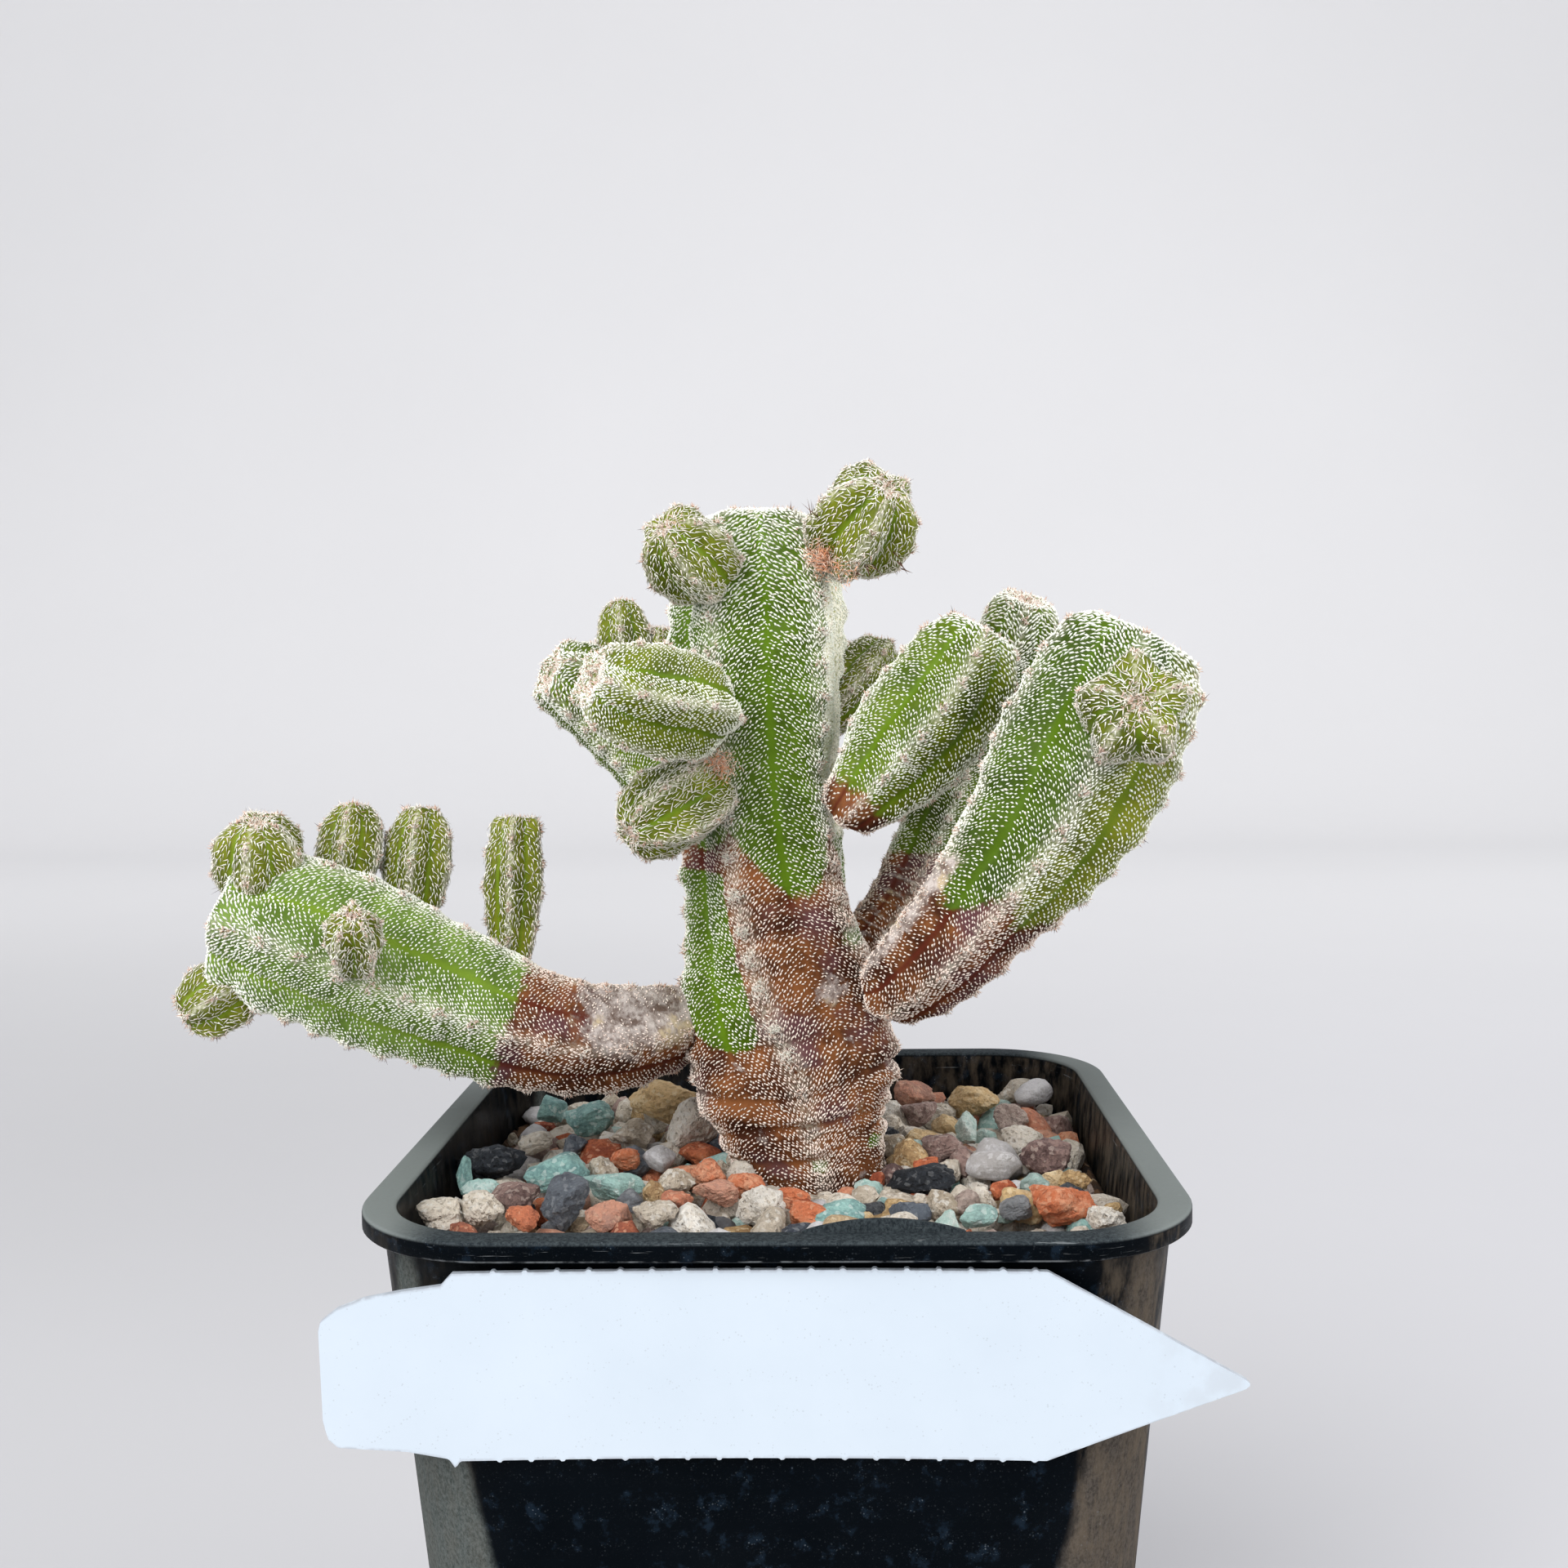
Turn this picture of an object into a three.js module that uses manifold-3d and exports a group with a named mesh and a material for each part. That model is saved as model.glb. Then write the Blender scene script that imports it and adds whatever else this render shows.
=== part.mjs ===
// A potted monstrose bishop's cap cactus (Astrophytum, white-flecked form): a branching five-ribbed
// plant with many small offsets, in a black square plastic pot with mixed mineral grit and a blank label.
// Millimetres, +Z up, origin at the centre of the pot's base, front of the pot towards -Y.
import * as THREE from "three";
import { mergeVertices } from "three/addons/utils/BufferGeometryUtils.js";
import Module from "manifold-3d";

const wasm = await Module();
wasm.setup();

// Gap kept between neighbouring pieces.
const GAP = 0.3;

// Pot: a tapered square pot with round corners and a flat rim that overhangs its wall.
const POT_HEIGHT = 80;
const RIM_HALF_WIDTH = 35;
const RIM_CORNER = 12.4;
const RIM_BAND = 1.65;
const MOUTH_HALF_WIDTH = 32.15;
const WALL_HALF_WIDTH = 33.45;
const WALL_CORNER = 10.9;
const WALL_TAPER = 0.076;
const CORNER_SPREAD = 0.03;
const WALL = 1.3;
const FLOOR = 1.6;
const DRAIN_RADIUS = 3.5;
const DRAIN_OFFSET = 15;
const CORNER_STEPS = 5;

// Growing mix and top dressing, heights counted down from the rim.
const MIX_DEPTH = 9;
const GRIT_BED_DEPTH = 6.2;
const STONE_PITCH = 5.4;
const STONE_SIZE = 5.8;
const STONE_TOP_DEPTH = 3.1;

// Plant: five ribs, grooves cut to this share of the crest radius.
const RIBS = 5;
const GROOVE = 0.72;
const FACE_BULGE = 0.05;
const CREST_STEP = 0.025;
const WRINKLE = 0.035;

// Label: a bowed strip of thin sheet, leaning on the pot's front wall under the rim.
const LABEL_THICKNESS = 0.45;
const LABEL_BOW = 1.2;
const LABEL_HALF_LENGTH = 37.2;

function manifoldOf(geometry) {
  const bare = geometry.index ? geometry.toNonIndexed() : geometry.clone();
  bare.deleteAttribute("normal");
  bare.deleteAttribute("uv");
  const merged = mergeVertices(bare, 1e-3);
  const mesh = new wasm.Mesh({
    numProp: 3,
    vertProperties: new Float32Array(merged.attributes.position.array),
    triVerts: new Uint32Array(merged.index.array),
  });
  return new wasm.Manifold(mesh);
}

function geometryOf(solid) {
  const mesh = solid.getMesh();
  const positions = new Float32Array(mesh.numVert * 3);
  for (let i = 0; i < mesh.numVert; i += 1) {
    positions.set(mesh.vertProperties.subarray(i * mesh.numProp, i * mesh.numProp + 3), i * 3);
  }
  const geometry = new THREE.BufferGeometry();
  geometry.setAttribute("position", new THREE.BufferAttribute(positions, 3));
  geometry.setIndex(new THREE.BufferAttribute(new Uint32Array(mesh.triVerts), 1));
  return geometry;
}

// Drops the chips that a cut leaves loose.
function largestBody(solid) {
  const bodies = solid.decompose();
  return bodies.reduce((best, body) => (body.volume() > best.volume() ? body : best));
}

// A skin over closed rings of equal point counts, closed at each end by a fan to a middle point.
function skinOverRings(rings, firstPole, lastPole) {
  const count = rings[0].length;
  const points = [...rings.flat(), firstPole, lastPole];
  const first = points.length - 2;
  const last = points.length - 1;
  const index = [];
  for (let i = 0; i < rings.length - 1; i += 1) {
    for (let j = 0; j < count; j += 1) {
      const next = (j + 1) % count;
      const a = i * count + j;
      const b = i * count + next;
      index.push(a, b, b + count, a, b + count, a + count);
    }
  }
  const top = (rings.length - 1) * count;
  for (let j = 0; j < count; j += 1) {
    const next = (j + 1) % count;
    index.push(first, next, j);
    index.push(last, top + j, top + next);
  }
  const positions = new Float32Array(points.length * 3);
  points.forEach((p, i) => p.toArray(positions, i * 3));
  const geometry = new THREE.BufferGeometry();
  geometry.setAttribute("position", new THREE.BufferAttribute(positions, 3));
  geometry.setIndex(index);
  return geometry;
}

function roundedSquareRing(halfWidth, corner, z) {
  const ring = [];
  for (let quarter = 0; quarter < 4; quarter += 1) {
    for (let step = 0; step <= CORNER_STEPS; step += 1) {
      const angle = ((quarter + step / CORNER_STEPS) * Math.PI) / 2;
      const side = quarter * (Math.PI / 2) + Math.PI / 4;
      const reach = (halfWidth - corner) * Math.SQRT2;
      const x = reach * Math.cos(side) + corner * Math.cos(angle);
      const y = reach * Math.sin(side) + corner * Math.sin(angle);
      ring.push(new THREE.Vector3(x, y, z));
    }
  }
  return ring;
}

function squareLoft(profile) {
  const rings = profile.map(([halfWidth, corner, z]) => roundedSquareRing(halfWidth, corner, z));
  const firstPole = new THREE.Vector3(0, 0, profile[0][2]);
  const lastPole = new THREE.Vector3(0, 0, profile[profile.length - 1][2]);
  return manifoldOf(skinOverRings(rings, firstPole, lastPole));
}

// The inside of the pot at a depth below the rim, drawn in by a clearance.
function insideAt(depth, clearance) {
  const halfWidth = MOUTH_HALF_WIDTH - WALL_TAPER * depth - clearance;
  const corner = WALL_CORNER - WALL + CORNER_SPREAD * depth - clearance;
  return [halfWidth, corner, POT_HEIGHT - depth];
}

function outsideAt(depth) {
  const halfWidth = WALL_HALF_WIDTH - WALL_TAPER * depth;
  return [halfWidth, WALL_CORNER + CORNER_SPREAD * depth, POT_HEIGHT - depth];
}

function drainHole(x, y) {
  const hole = new THREE.CylinderGeometry(DRAIN_RADIUS, DRAIN_RADIUS, 3 * FLOOR, 14);
  hole.rotateX(Math.PI / 2);
  hole.translate(x, y, FLOOR / 2);
  return manifoldOf(hole);
}

function buildPot() {
  const foot = 1.2;
  const edge = 0.35;
  const base = outsideAt(POT_HEIGHT);
  const floorDepth = POT_HEIGHT - FLOOR;
  let pot = squareLoft([
    [base[0] - foot / 2, base[1] - foot / 2, 0],
    outsideAt(POT_HEIGHT - foot),
    outsideAt(RIM_BAND),
    [RIM_HALF_WIDTH, RIM_CORNER, POT_HEIGHT - RIM_BAND],
    [RIM_HALF_WIDTH, RIM_CORNER, POT_HEIGHT - edge],
    [RIM_HALF_WIDTH - edge, RIM_CORNER - edge, POT_HEIGHT],
    insideAt(0, 0),
    insideAt(floorDepth, 0),
  ]);
  for (const x of [-DRAIN_OFFSET, DRAIN_OFFSET]) {
    for (const y of [-DRAIN_OFFSET, DRAIN_OFFSET]) {
      pot = pot.subtract(drainHole(x, y));
    }
  }
  return pot;
}

// Seeded pseudo-random numbers from 0 to 1.
function seededDraw(seed) {
  let state = seed;
  return () => {
    state = (state * 1664525 + 1013904223) % 4294967296;
    return state / 4294967296;
  };
}

function stone(x, y, z, size, draw) {
  const Shape = draw() < 0.35 ? THREE.IcosahedronGeometry : THREE.OctahedronGeometry;
  const rock = new Shape(size / 2, 0);
  rock.scale(0.85 + 0.5 * draw(), 0.75 + 0.35 * draw(), 0.6 + 0.3 * draw());
  rock.rotateX(0.9 * (draw() - 0.5));
  rock.rotateY(0.9 * (draw() - 0.5));
  rock.rotateZ(Math.PI * draw());
  rock.translate(x, y, z);
  return manifoldOf(rock);
}

// Mixed grit: a level bed with stones half sunk in it, on a staggered grid with a seeded scatter.
function buildGrit() {
  const draw = seededDraw(41);
  const reach = MOUTH_HALF_WIDTH - WALL_TAPER * GRIT_BED_DEPTH;
  const bedBottom = insideAt(MIX_DEPTH - GAP, GAP);
  const bedTop = insideAt(GRIT_BED_DEPTH, GAP);
  let grit = squareLoft([bedBottom, bedTop]);
  const rows = Math.floor((2 * reach) / STONE_PITCH);
  const stones = [];
  for (let row = 0; row <= rows; row += 1) {
    for (let column = 0; column <= rows; column += 1) {
      const stagger = row % 2 ? 0.5 : 0;
      const x = -reach + (column + stagger + 0.6 * (draw() - 0.5)) * STONE_PITCH;
      const y = -reach + (row + 0.6 * (draw() - 0.5)) * STONE_PITCH;
      const size = STONE_SIZE * (0.7 + 0.5 * draw());
      const z = POT_HEIGHT - STONE_TOP_DEPTH - 0.42 * size - 1.6 * draw();
      stones.push(stone(x, y, z, size, draw));
    }
  }
  const inside = squareLoft([insideAt(MIX_DEPTH - GAP, GAP), insideAt(0.5, GAP)]);
  grit = grit.add(wasm.Manifold.union(stones)).intersect(inside);
  return largestBody(grit.subtract(mainStem(GAP)));
}

function buildMix() {
  return squareLoft([insideAt(POT_HEIGHT - FLOOR - GAP, GAP), insideAt(MIX_DEPTH, GAP)]);
}

// Reach of a rib section at an angle from a crest: a straight-sided star with bulging faces.
function starReach(angle, depth) {
  const half = Math.PI / RIBS;
  const wrapped = Math.abs(((((angle + half) % (2 * half)) + 2 * half) % (2 * half)) - half);
  const groove = 1 - depth;
  const chord = (groove * Math.sin(half)) / (Math.sin(wrapped) + groove * Math.sin(half - wrapped));
  return chord + FACE_BULGE * Math.sin((Math.PI * wrapped) / half);
}

// A ribbed stem along a smooth line through knots [x, y, height over the rim, crest radius].
// turn is the angle in degrees of one crest from the facing direction, at each end of the stem,
// and wrinkled is the share of the length, from the root, that carries shrinkage rings.
function ribbedStem(knots, options = {}) {
  const settings = {
    rings: 12,
    sides: 20,
    turn: [0, 0],
    depth: [1, 1],
    facing: [0, -1, 0],
    wrinkled: 0,
    grow: 0,
    ...options,
  };
  const line = new THREE.CatmullRomCurve3(
    knots.map(([x, y, h]) => new THREE.Vector3(x, y, POT_HEIGHT + h)),
    false,
    "centripetal",
  );
  const girth = new THREE.CatmullRomCurve3(
    knots.map(([, , , r], i) => new THREE.Vector3(i, r, 0)),
    false,
    "catmullrom",
    0.4,
  );
  const facing = new THREE.Vector3(...settings.facing);
  const rings = [];
  for (let i = 0; i <= settings.rings; i += 1) {
    const t = i / settings.rings;
    const centre = line.getPoint(t);
    const along = line.getTangent(t);
    const front = facing.clone().addScaledVector(along, -facing.dot(along)).normalize();
    const side = new THREE.Vector3().crossVectors(along, front);
    const wrinkle = t < settings.wrinkled ? WRINKLE * (i % 2 ? 1 : -1) : 0;
    const radius = girth.getPoint(t).y * (1 + wrinkle);
    const turn = THREE.MathUtils.degToRad(THREE.MathUtils.lerp(settings.turn[0], settings.turn[1], t));
    const groove = (1 - GROOVE) * THREE.MathUtils.lerp(settings.depth[0], settings.depth[1], t);
    const ring = [];
    for (let j = 0; j < settings.sides; j += 1) {
      const angle = (2 * Math.PI * j) / settings.sides;
      const onCrest = (j * RIBS) % settings.sides === 0;
      const step = onCrest ? 1 + CREST_STEP * (i % 2 ? 1 : -1) : 1;
      const reach = radius * step * starReach(angle, groove) + settings.grow;
      const point = centre.clone();
      point.addScaledVector(front, reach * Math.cos(angle + turn));
      point.addScaledVector(side, reach * Math.sin(angle + turn));
      ring.push(point);
    }
    rings.push(ring);
  }
  const firstPole = line.getPoint(0).addScaledVector(line.getTangent(0), -settings.grow);
  const lastPole = line.getPoint(1).addScaledVector(line.getTangent(1), settings.grow);
  return manifoldOf(skinOverRings(rings, firstPole, lastPole));
}

// A small offset: a short ribbed barrel from its narrow root to its blunt, dimpled top.
function offset(root, top, width, options = {}) {
  const from = new THREE.Vector3(...root);
  const to = new THREE.Vector3(...top);
  const profile = [
    [0, 0.4],
    [0.14, 0.72],
    [0.45, 1],
    [0.78, 0.94],
    [1, 0.52],
    [0.97, 0.12],
  ];
  const knots = profile.map(([share, fullness]) => {
    const at = from.clone().lerp(to, share);
    return [at.x, at.y, at.z, (fullness * width) / 1.95];
  });
  return ribbedStem(knots, { rings: 6, sides: 10, ...options });
}

// Main stem: the swollen wrinkled trunk and the upright column, a crest either side of its front.
function mainStem(grow) {
  const knots = [
    [3.4, 1, -8.6, 3.2],
    [3.3, 1, -7.4, 6.2],
    [3.0, 1, -5.0, 7.2],
    [2.4, 1, -2.4, 7.9],
    [1.8, 1, 0.8, 9.0],
    [1.3, 1, 4.5, 10.3],
    [0.9, 1, 8.2, 10.7],
    [0.2, 1, 12.2, 10.2],
    [-0.4, 1, 17.0, 9.5],
    [-1.0, 1, 21.5, 8.8],
    [-1.4, 1, 27.7, 8.5],
    [-1.4, 1, 34.0, 8.0],
    [-1.6, 1, 40.1, 8.7],
    [-1.8, 1, 47.2, 9.3],
    [-1.7, 1, 52.0, 9.1],
    [-1.7, 1, 55.6, 8.4],
    [-1.7, 1, 58.0, 7.2],
    [-1.7, 1, 59.8, 5.4],
    [-1.7, 1, 60.1, 3.6],
    [-1.7, 1, 59.4, 1.4],
  ];
  return ribbedStem(knots, {
    rings: 34,
    turn: [-12, -31],
    depth: [0.2, 1.15],
    wrinkled: 0.26,
    grow,
  });
}

const LEFT_ARM = [
  [-6.6, 2.8, 9.8, 2.4],
  [-9.4, 1.6, 10.0, 3.8],
  [-13.2, -1.6, 9.8, 4.9],
  [-18.5, -5.0, 10.0, 5.6],
  [-24.6, -7.0, 11.8, 6.3],
  [-30.6, -8.0, 14.6, 7.3],
  [-37.0, -9.0, 17.6, 8.0],
  [-42.6, -9.8, 20.2, 8.2],
  [-47.4, -10.0, 21.9, 7.6],
  [-50.6, -10.0, 22.8, 5.6],
  [-50.2, -10.0, 22.7, 1.6],
];

function leftArm() {
  return ribbedStem(LEFT_ARM, { rings: 16, depth: [0.5, 1] });
}

const RIGHT_ARM = [
  [9.6, -4.5, 14.2, 2.5],
  [11.2, -6.5, 15.1, 4.2],
  [15.3, -9.5, 19.3, 5.4],
  [18.9, -11.0, 23.7, 6.1],
  [22.2, -12.0, 28.0, 7.2],
  [25.1, -12.5, 32.4, 8.3],
  [27.5, -12.5, 36.9, 8.7],
  [29.9, -12.5, 41.5, 8.3],
  [31.9, -12.5, 45.9, 6.9],
  [32.8, -12.5, 47.4, 4.4],
  [32.5, -12.5, 46.8, 1.2],
];

function rightArm() {
  return ribbedStem(RIGHT_ARM, { rings: 16, turn: [16, -8], depth: [0.6, 1] });
}

const RIGHT_MIDDLE_ARM = [
  [6.2, -5.5, 30.9, 1.6],
  [6.9, -6.0, 31.7, 3.2],
  [8.5, -5.5, 33.5, 4.4],
  [10.7, -4.5, 35.9, 5.7],
  [13.4, -4.0, 39.2, 6.3],
  [16.4, -3.5, 43.1, 6.2],
  [18.6, -3.5, 46.8, 5.0],
  [19.5, -3.5, 48.4, 2.8],
  [19.2, -3.5, 48.0, 1.0],
];

function rightMiddleArm() {
  return ribbedStem(RIGHT_MIDDLE_ARM, { rings: 11, turn: [4, 4], depth: [0.6, 1] });
}

const BACK_LEFT_ARM = [
  [-5.0, 4.6, 28.8, 2.4],
  [-7.3, 6.4, 30.6, 4.4],
  [-9.8, 9.0, 33.3, 5.2],
  [-13.2, 10.0, 36.8, 5.5],
  [-16.2, 9.6, 40.0, 5.5],
  [-19.2, 8.4, 42.6, 5.0],
  [-21.6, 7.0, 44.2, 4.4],
  [-23.2, 6.0, 45.0, 2.8],
  [-22.9, 6.2, 44.8, 1.0],
];

function backLeftArm() {
  return ribbedStem(BACK_LEFT_ARM, { rings: 11, turn: [36, 36], depth: [0.6, 1] });
}

const BACK_RIGHT_ARM = [
  [6.8, 6.5, 14.2, 1.8],
  [8.4, 8.0, 15.8, 3.4],
  [12.0, 11.0, 20.0, 3.8],
  [15.4, 15.0, 25.7, 4.2],
  [18.8, 17.6, 32.5, 4.7],
  [21.2, 17.6, 39.5, 5.2],
  [24.1, 16.0, 46.4, 4.6],
  [25.2, 14.6, 49.6, 4.4],
  [25.8, 14.0, 52.0, 2.6],
  [25.8, 14.1, 51.7, 0.8],
];

function backRightArm() {
  return ribbedStem(BACK_RIGHT_ARM, { rings: 14, depth: [0.3, 1], wrinkled: 0.4 });
}

const TOWARDS_VIEWER = { facing: [0, 0, 1] };

function buildMainStem() {
  const offsets = [
    offset([-5.2, -4.0, 51.8], [-9.7, -12.0, 57.5], 8.8, TOWARDS_VIEWER),
    offset([3.8, -2.8, 55.4], [11.4, -7.0, 61.8], 10.8, { turn: [20, 20] }),
    ribbedStem(
      [
        [-5.4, -4.6, 40.5, 2.2],
        [-6.7, -8.8, 41.0, 4.2],
        [-8.0, -11.8, 41.4, 5.1],
        [-10.6, -14.5, 42.0, 5.4],
        [-13.9, -17.0, 43.2, 4.8],
        [-15.5, -18.2, 44.1, 2.8],
        [-15.2, -18.0, 44.0, 1.0],
      ],
      { rings: 8, turn: [8, 8] },
    ),
    offset([-5.2, -4.4, 34.4], [-13.3, -12.0, 30.0], 8.8, { turn: [30, 30] }),
    offset([4.6, 4.6, 39.6], [10.9, 13.0, 47.0], 7.4),
  ];
  return mainStem(0).add(wasm.Manifold.union(offsets));
}

function buildLeftArm() {
  const offsets = [
    offset([-47.4, -9.6, 23.4], [-46.7, -13.4, 31.6], 8.8),
    offset([-48.8, -9.2, 17.2], [-54.6, -10.2, 13.6], 6.8),
    offset([-40.8, -6.6, 24.4], [-40.4, -3.8, 32.2], 6.4),
    offset([-34.8, -5.0, 21.4], [-34.2, -2.8, 31.8], 6.6),
    offset([-25.8, -4.4, 14.8], [-25.2, -2.2, 30.8], 6.2, { rings: 8 }),
    offset([-37.6, -15.4, 18.4], [-35.9, -21.6, 24.0], 5.2, TOWARDS_VIEWER),
  ];
  return leftArm().add(wasm.Manifold.union(offsets));
}

function buildRightArm() {
  const star = offset([30.4, -17.4, 38.8], [30.0, -27.0, 42.0], 8.7, TOWARDS_VIEWER);
  return rightArm().add(star);
}

function buildBackLeftArm() {
  const offsets = [
    offset([-15.6, 11.0, 42.0], [-16.8, 13.4, 52.2], 6.0),
    offset([-12.6, 11.2, 39.0], [-12.7, 13.0, 49.4], 4.6),
  ];
  return backLeftArm().add(wasm.Manifold.union(offsets));
}

// Label outline in its own plane: x along the pot's front, y down from the rim.
function labelOutline() {
  const outline = new THREE.Shape();
  outline.moveTo(-LABEL_HALF_LENGTH + 1.5, -6.2);
  outline.quadraticCurveTo(-33.4, -4.4, -29.2, -3.9);
  outline.quadraticCurveTo(-26.9, -3.7, -26.0, -3.5);
  outline.lineTo(-25.6, -2.9);
  outline.lineTo(-25.1, -2.5);
  outline.lineTo(21.6, -2.5);
  outline.lineTo(LABEL_HALF_LENGTH - 0.4, -11.0);
  outline.quadraticCurveTo(LABEL_HALF_LENGTH + 0.1, -11.4, LABEL_HALF_LENGTH - 0.4, -11.8);
  outline.lineTo(21.6, -18.2);
  outline.lineTo(-25.0, -18.2);
  outline.lineTo(-25.4, -18.8);
  outline.lineTo(-25.8, -18.0);
  outline.quadraticCurveTo(-27.0, -17.5, -29.2, -17.3);
  outline.lineTo(-34.6, -16.8);
  outline.quadraticCurveTo(-35.6, -16.6, -35.7, -15.8);
  outline.closePath();
  return outline;
}

function buildLabel() {
  const bowed = new THREE.Shape();
  const steps = 14;
  const bowAt = (x) => -LABEL_BOW * (x / LABEL_HALF_LENGTH) ** 2;
  const reach = LABEL_HALF_LENGTH + 1;
  for (let i = 0; i <= steps; i += 1) {
    const x = -reach + (2 * reach * i) / steps;
    if (i === 0) bowed.moveTo(x, bowAt(x));
    else bowed.lineTo(x, bowAt(x));
  }
  for (let i = steps; i >= 0; i -= 1) {
    const x = -reach + (2 * reach * i) / steps;
    bowed.lineTo(x, bowAt(x) - LABEL_THICKNESS);
  }
  bowed.closePath();
  const sheet = new THREE.ExtrudeGeometry(bowed, { depth: 24, bevelEnabled: false });
  sheet.translate(0, 0, -22);
  const face = new THREE.ExtrudeGeometry(labelOutline(), { depth: 8, bevelEnabled: false, curveSegments: 5 });
  face.rotateX(Math.PI / 2);
  face.translate(0, 4, 0);
  const label = manifoldOf(sheet).intersect(manifoldOf(face));
  const geometry = geometryOf(label);
  const wallTop = -(WALL_HALF_WIDTH + GAP);
  geometry.rotateX(Math.atan(WALL_TAPER));
  geometry.translate(0, wallTop, POT_HEIGHT);
  return geometry;
}

function named(name, geometry, color, roughness, metalness = 0) {
  const material = new THREE.MeshStandardMaterial({ color, roughness, metalness });
  const mesh = new THREE.Mesh(geometry, material);
  mesh.name = name;
  return mesh;
}

const trunkHole = mainStem(GAP);

const group = new THREE.Group();
group.add(named("pot", geometryOf(buildPot()), 0x1b1c1d, 0.5));
group.add(named("growing_mix", geometryOf(buildMix().subtract(trunkHole)), 0x3a2c22, 0.95));
group.add(named("top_grit", geometryOf(buildGrit()), 0xb39c84, 0.9));
group.add(named("main_stem", geometryOf(buildMainStem()), 0x6f7c4c, 0.8));
group.add(named("left_arm", geometryOf(buildLeftArm().subtract(trunkHole)), 0x7f9a5a, 0.8));
group.add(named("right_arm", geometryOf(buildRightArm().subtract(trunkHole)), 0x79924f, 0.8));
group.add(named("right_middle_arm", geometryOf(rightMiddleArm().subtract(trunkHole)), 0x7d9850, 0.8));
group.add(named("back_left_arm", geometryOf(buildBackLeftArm().subtract(trunkHole)), 0x84a062, 0.8));
group.add(named("back_right_arm", geometryOf(backRightArm().subtract(trunkHole)), 0x7e9256, 0.8));
group.add(named("label", buildLabel(), 0xe9eef6, 0.35));

export default group;
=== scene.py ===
# A potted monstrose bishop's cap cactus, photographed from the front at close range: the black
# nursery pot, its mineral grit, the flecked stems and their offsets, and the white plant label.
# Metres, +Z up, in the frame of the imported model.
import math

import bpy
import numpy as np
from mathutils import Matrix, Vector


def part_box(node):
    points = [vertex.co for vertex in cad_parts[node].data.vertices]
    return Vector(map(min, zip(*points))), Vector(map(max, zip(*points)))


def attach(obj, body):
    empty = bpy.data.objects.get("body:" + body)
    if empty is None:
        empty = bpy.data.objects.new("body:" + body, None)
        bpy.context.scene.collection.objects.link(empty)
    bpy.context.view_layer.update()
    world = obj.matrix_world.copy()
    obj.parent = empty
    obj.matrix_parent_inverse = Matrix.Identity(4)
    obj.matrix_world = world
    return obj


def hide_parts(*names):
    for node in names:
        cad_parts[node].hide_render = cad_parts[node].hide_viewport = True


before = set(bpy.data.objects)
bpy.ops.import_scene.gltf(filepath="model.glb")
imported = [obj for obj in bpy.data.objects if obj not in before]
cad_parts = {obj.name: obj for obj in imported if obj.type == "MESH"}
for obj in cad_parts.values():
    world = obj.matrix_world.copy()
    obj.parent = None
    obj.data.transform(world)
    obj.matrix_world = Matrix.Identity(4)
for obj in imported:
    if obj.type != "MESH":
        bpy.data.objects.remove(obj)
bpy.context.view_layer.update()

MM = 0.001


# Camera. It stands 16 cm in front of the plant with the lens 43 mm above the rim, turned slightly
# left and down, and close enough that the frame cuts off the lower half of the pot.
rim_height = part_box("pot")[1].z
lens_place = (5.09 * MM, -163.19 * MM, rim_height + 43.08 * MM)
look_down = math.radians(3.292)
look_left = math.radians(1.605)
lean_right = math.radians(-0.675)

camera_data = bpy.data.cameras.new("photo_camera")
camera_data.sensor_width = 36.0
camera_data.lens = 38.56
camera_data.clip_start = 0.01
camera_data.clip_end = 20.0
camera = bpy.data.objects.new("photo_camera", camera_data)
bpy.context.scene.collection.objects.link(camera)
camera.matrix_world = (
    Matrix.Translation(lens_place)
    @ Matrix.Rotation(look_left, 4, "Z")
    @ Matrix.Rotation(math.pi / 2 - look_down, 4, "X")
    @ Matrix.Rotation(lean_right, 4, "Z")
)
bpy.context.scene.camera = camera


# Pot. A square nursery pot of thin black polypropylene, moulded in one piece with a flat rim that
# overhangs the tapered wall. Its flat faces are glossy, its round corners have a dull leathery
# texture, and handling has left dust and scratches on the rim.
def put_in_scene(name, points, faces, smooth=True, **marks):
    """Makes a mesh object from points and triangles, with each extra value kept as an attribute."""
    points = np.ascontiguousarray(points, np.float32).reshape(-1, 3)
    faces = np.ascontiguousarray(faces, np.int32).reshape(-1, 3)
    mesh = bpy.data.meshes.new(name)
    mesh.vertices.add(len(points))
    mesh.vertices.foreach_set("co", points.ravel())
    mesh.loops.add(faces.size)
    mesh.loops.foreach_set("vertex_index", faces.ravel())
    mesh.polygons.add(len(faces))
    mesh.polygons.foreach_set("loop_start", np.arange(0, faces.size, 3, dtype=np.int32))
    mesh.polygons.foreach_set("use_smooth", np.full(len(faces), smooth))
    mesh.update(calc_edges=True)
    for mark, values in marks.items():
        layer = mesh.attributes.new(mark, "FLOAT", "POINT")
        layer.data.foreach_set("value", np.ascontiguousarray(values, np.float32).ravel())
    piece = bpy.data.objects.new(name, mesh)
    bpy.context.scene.collection.objects.link(piece)
    return piece


def fit_to_pot(piece, material, node):
    """Gives a finished piece its material, its place in the frame and the node that it replaces."""
    piece.data.materials.clear()
    piece.data.materials.append(material)
    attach(piece, "root")
    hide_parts(node)


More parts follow.
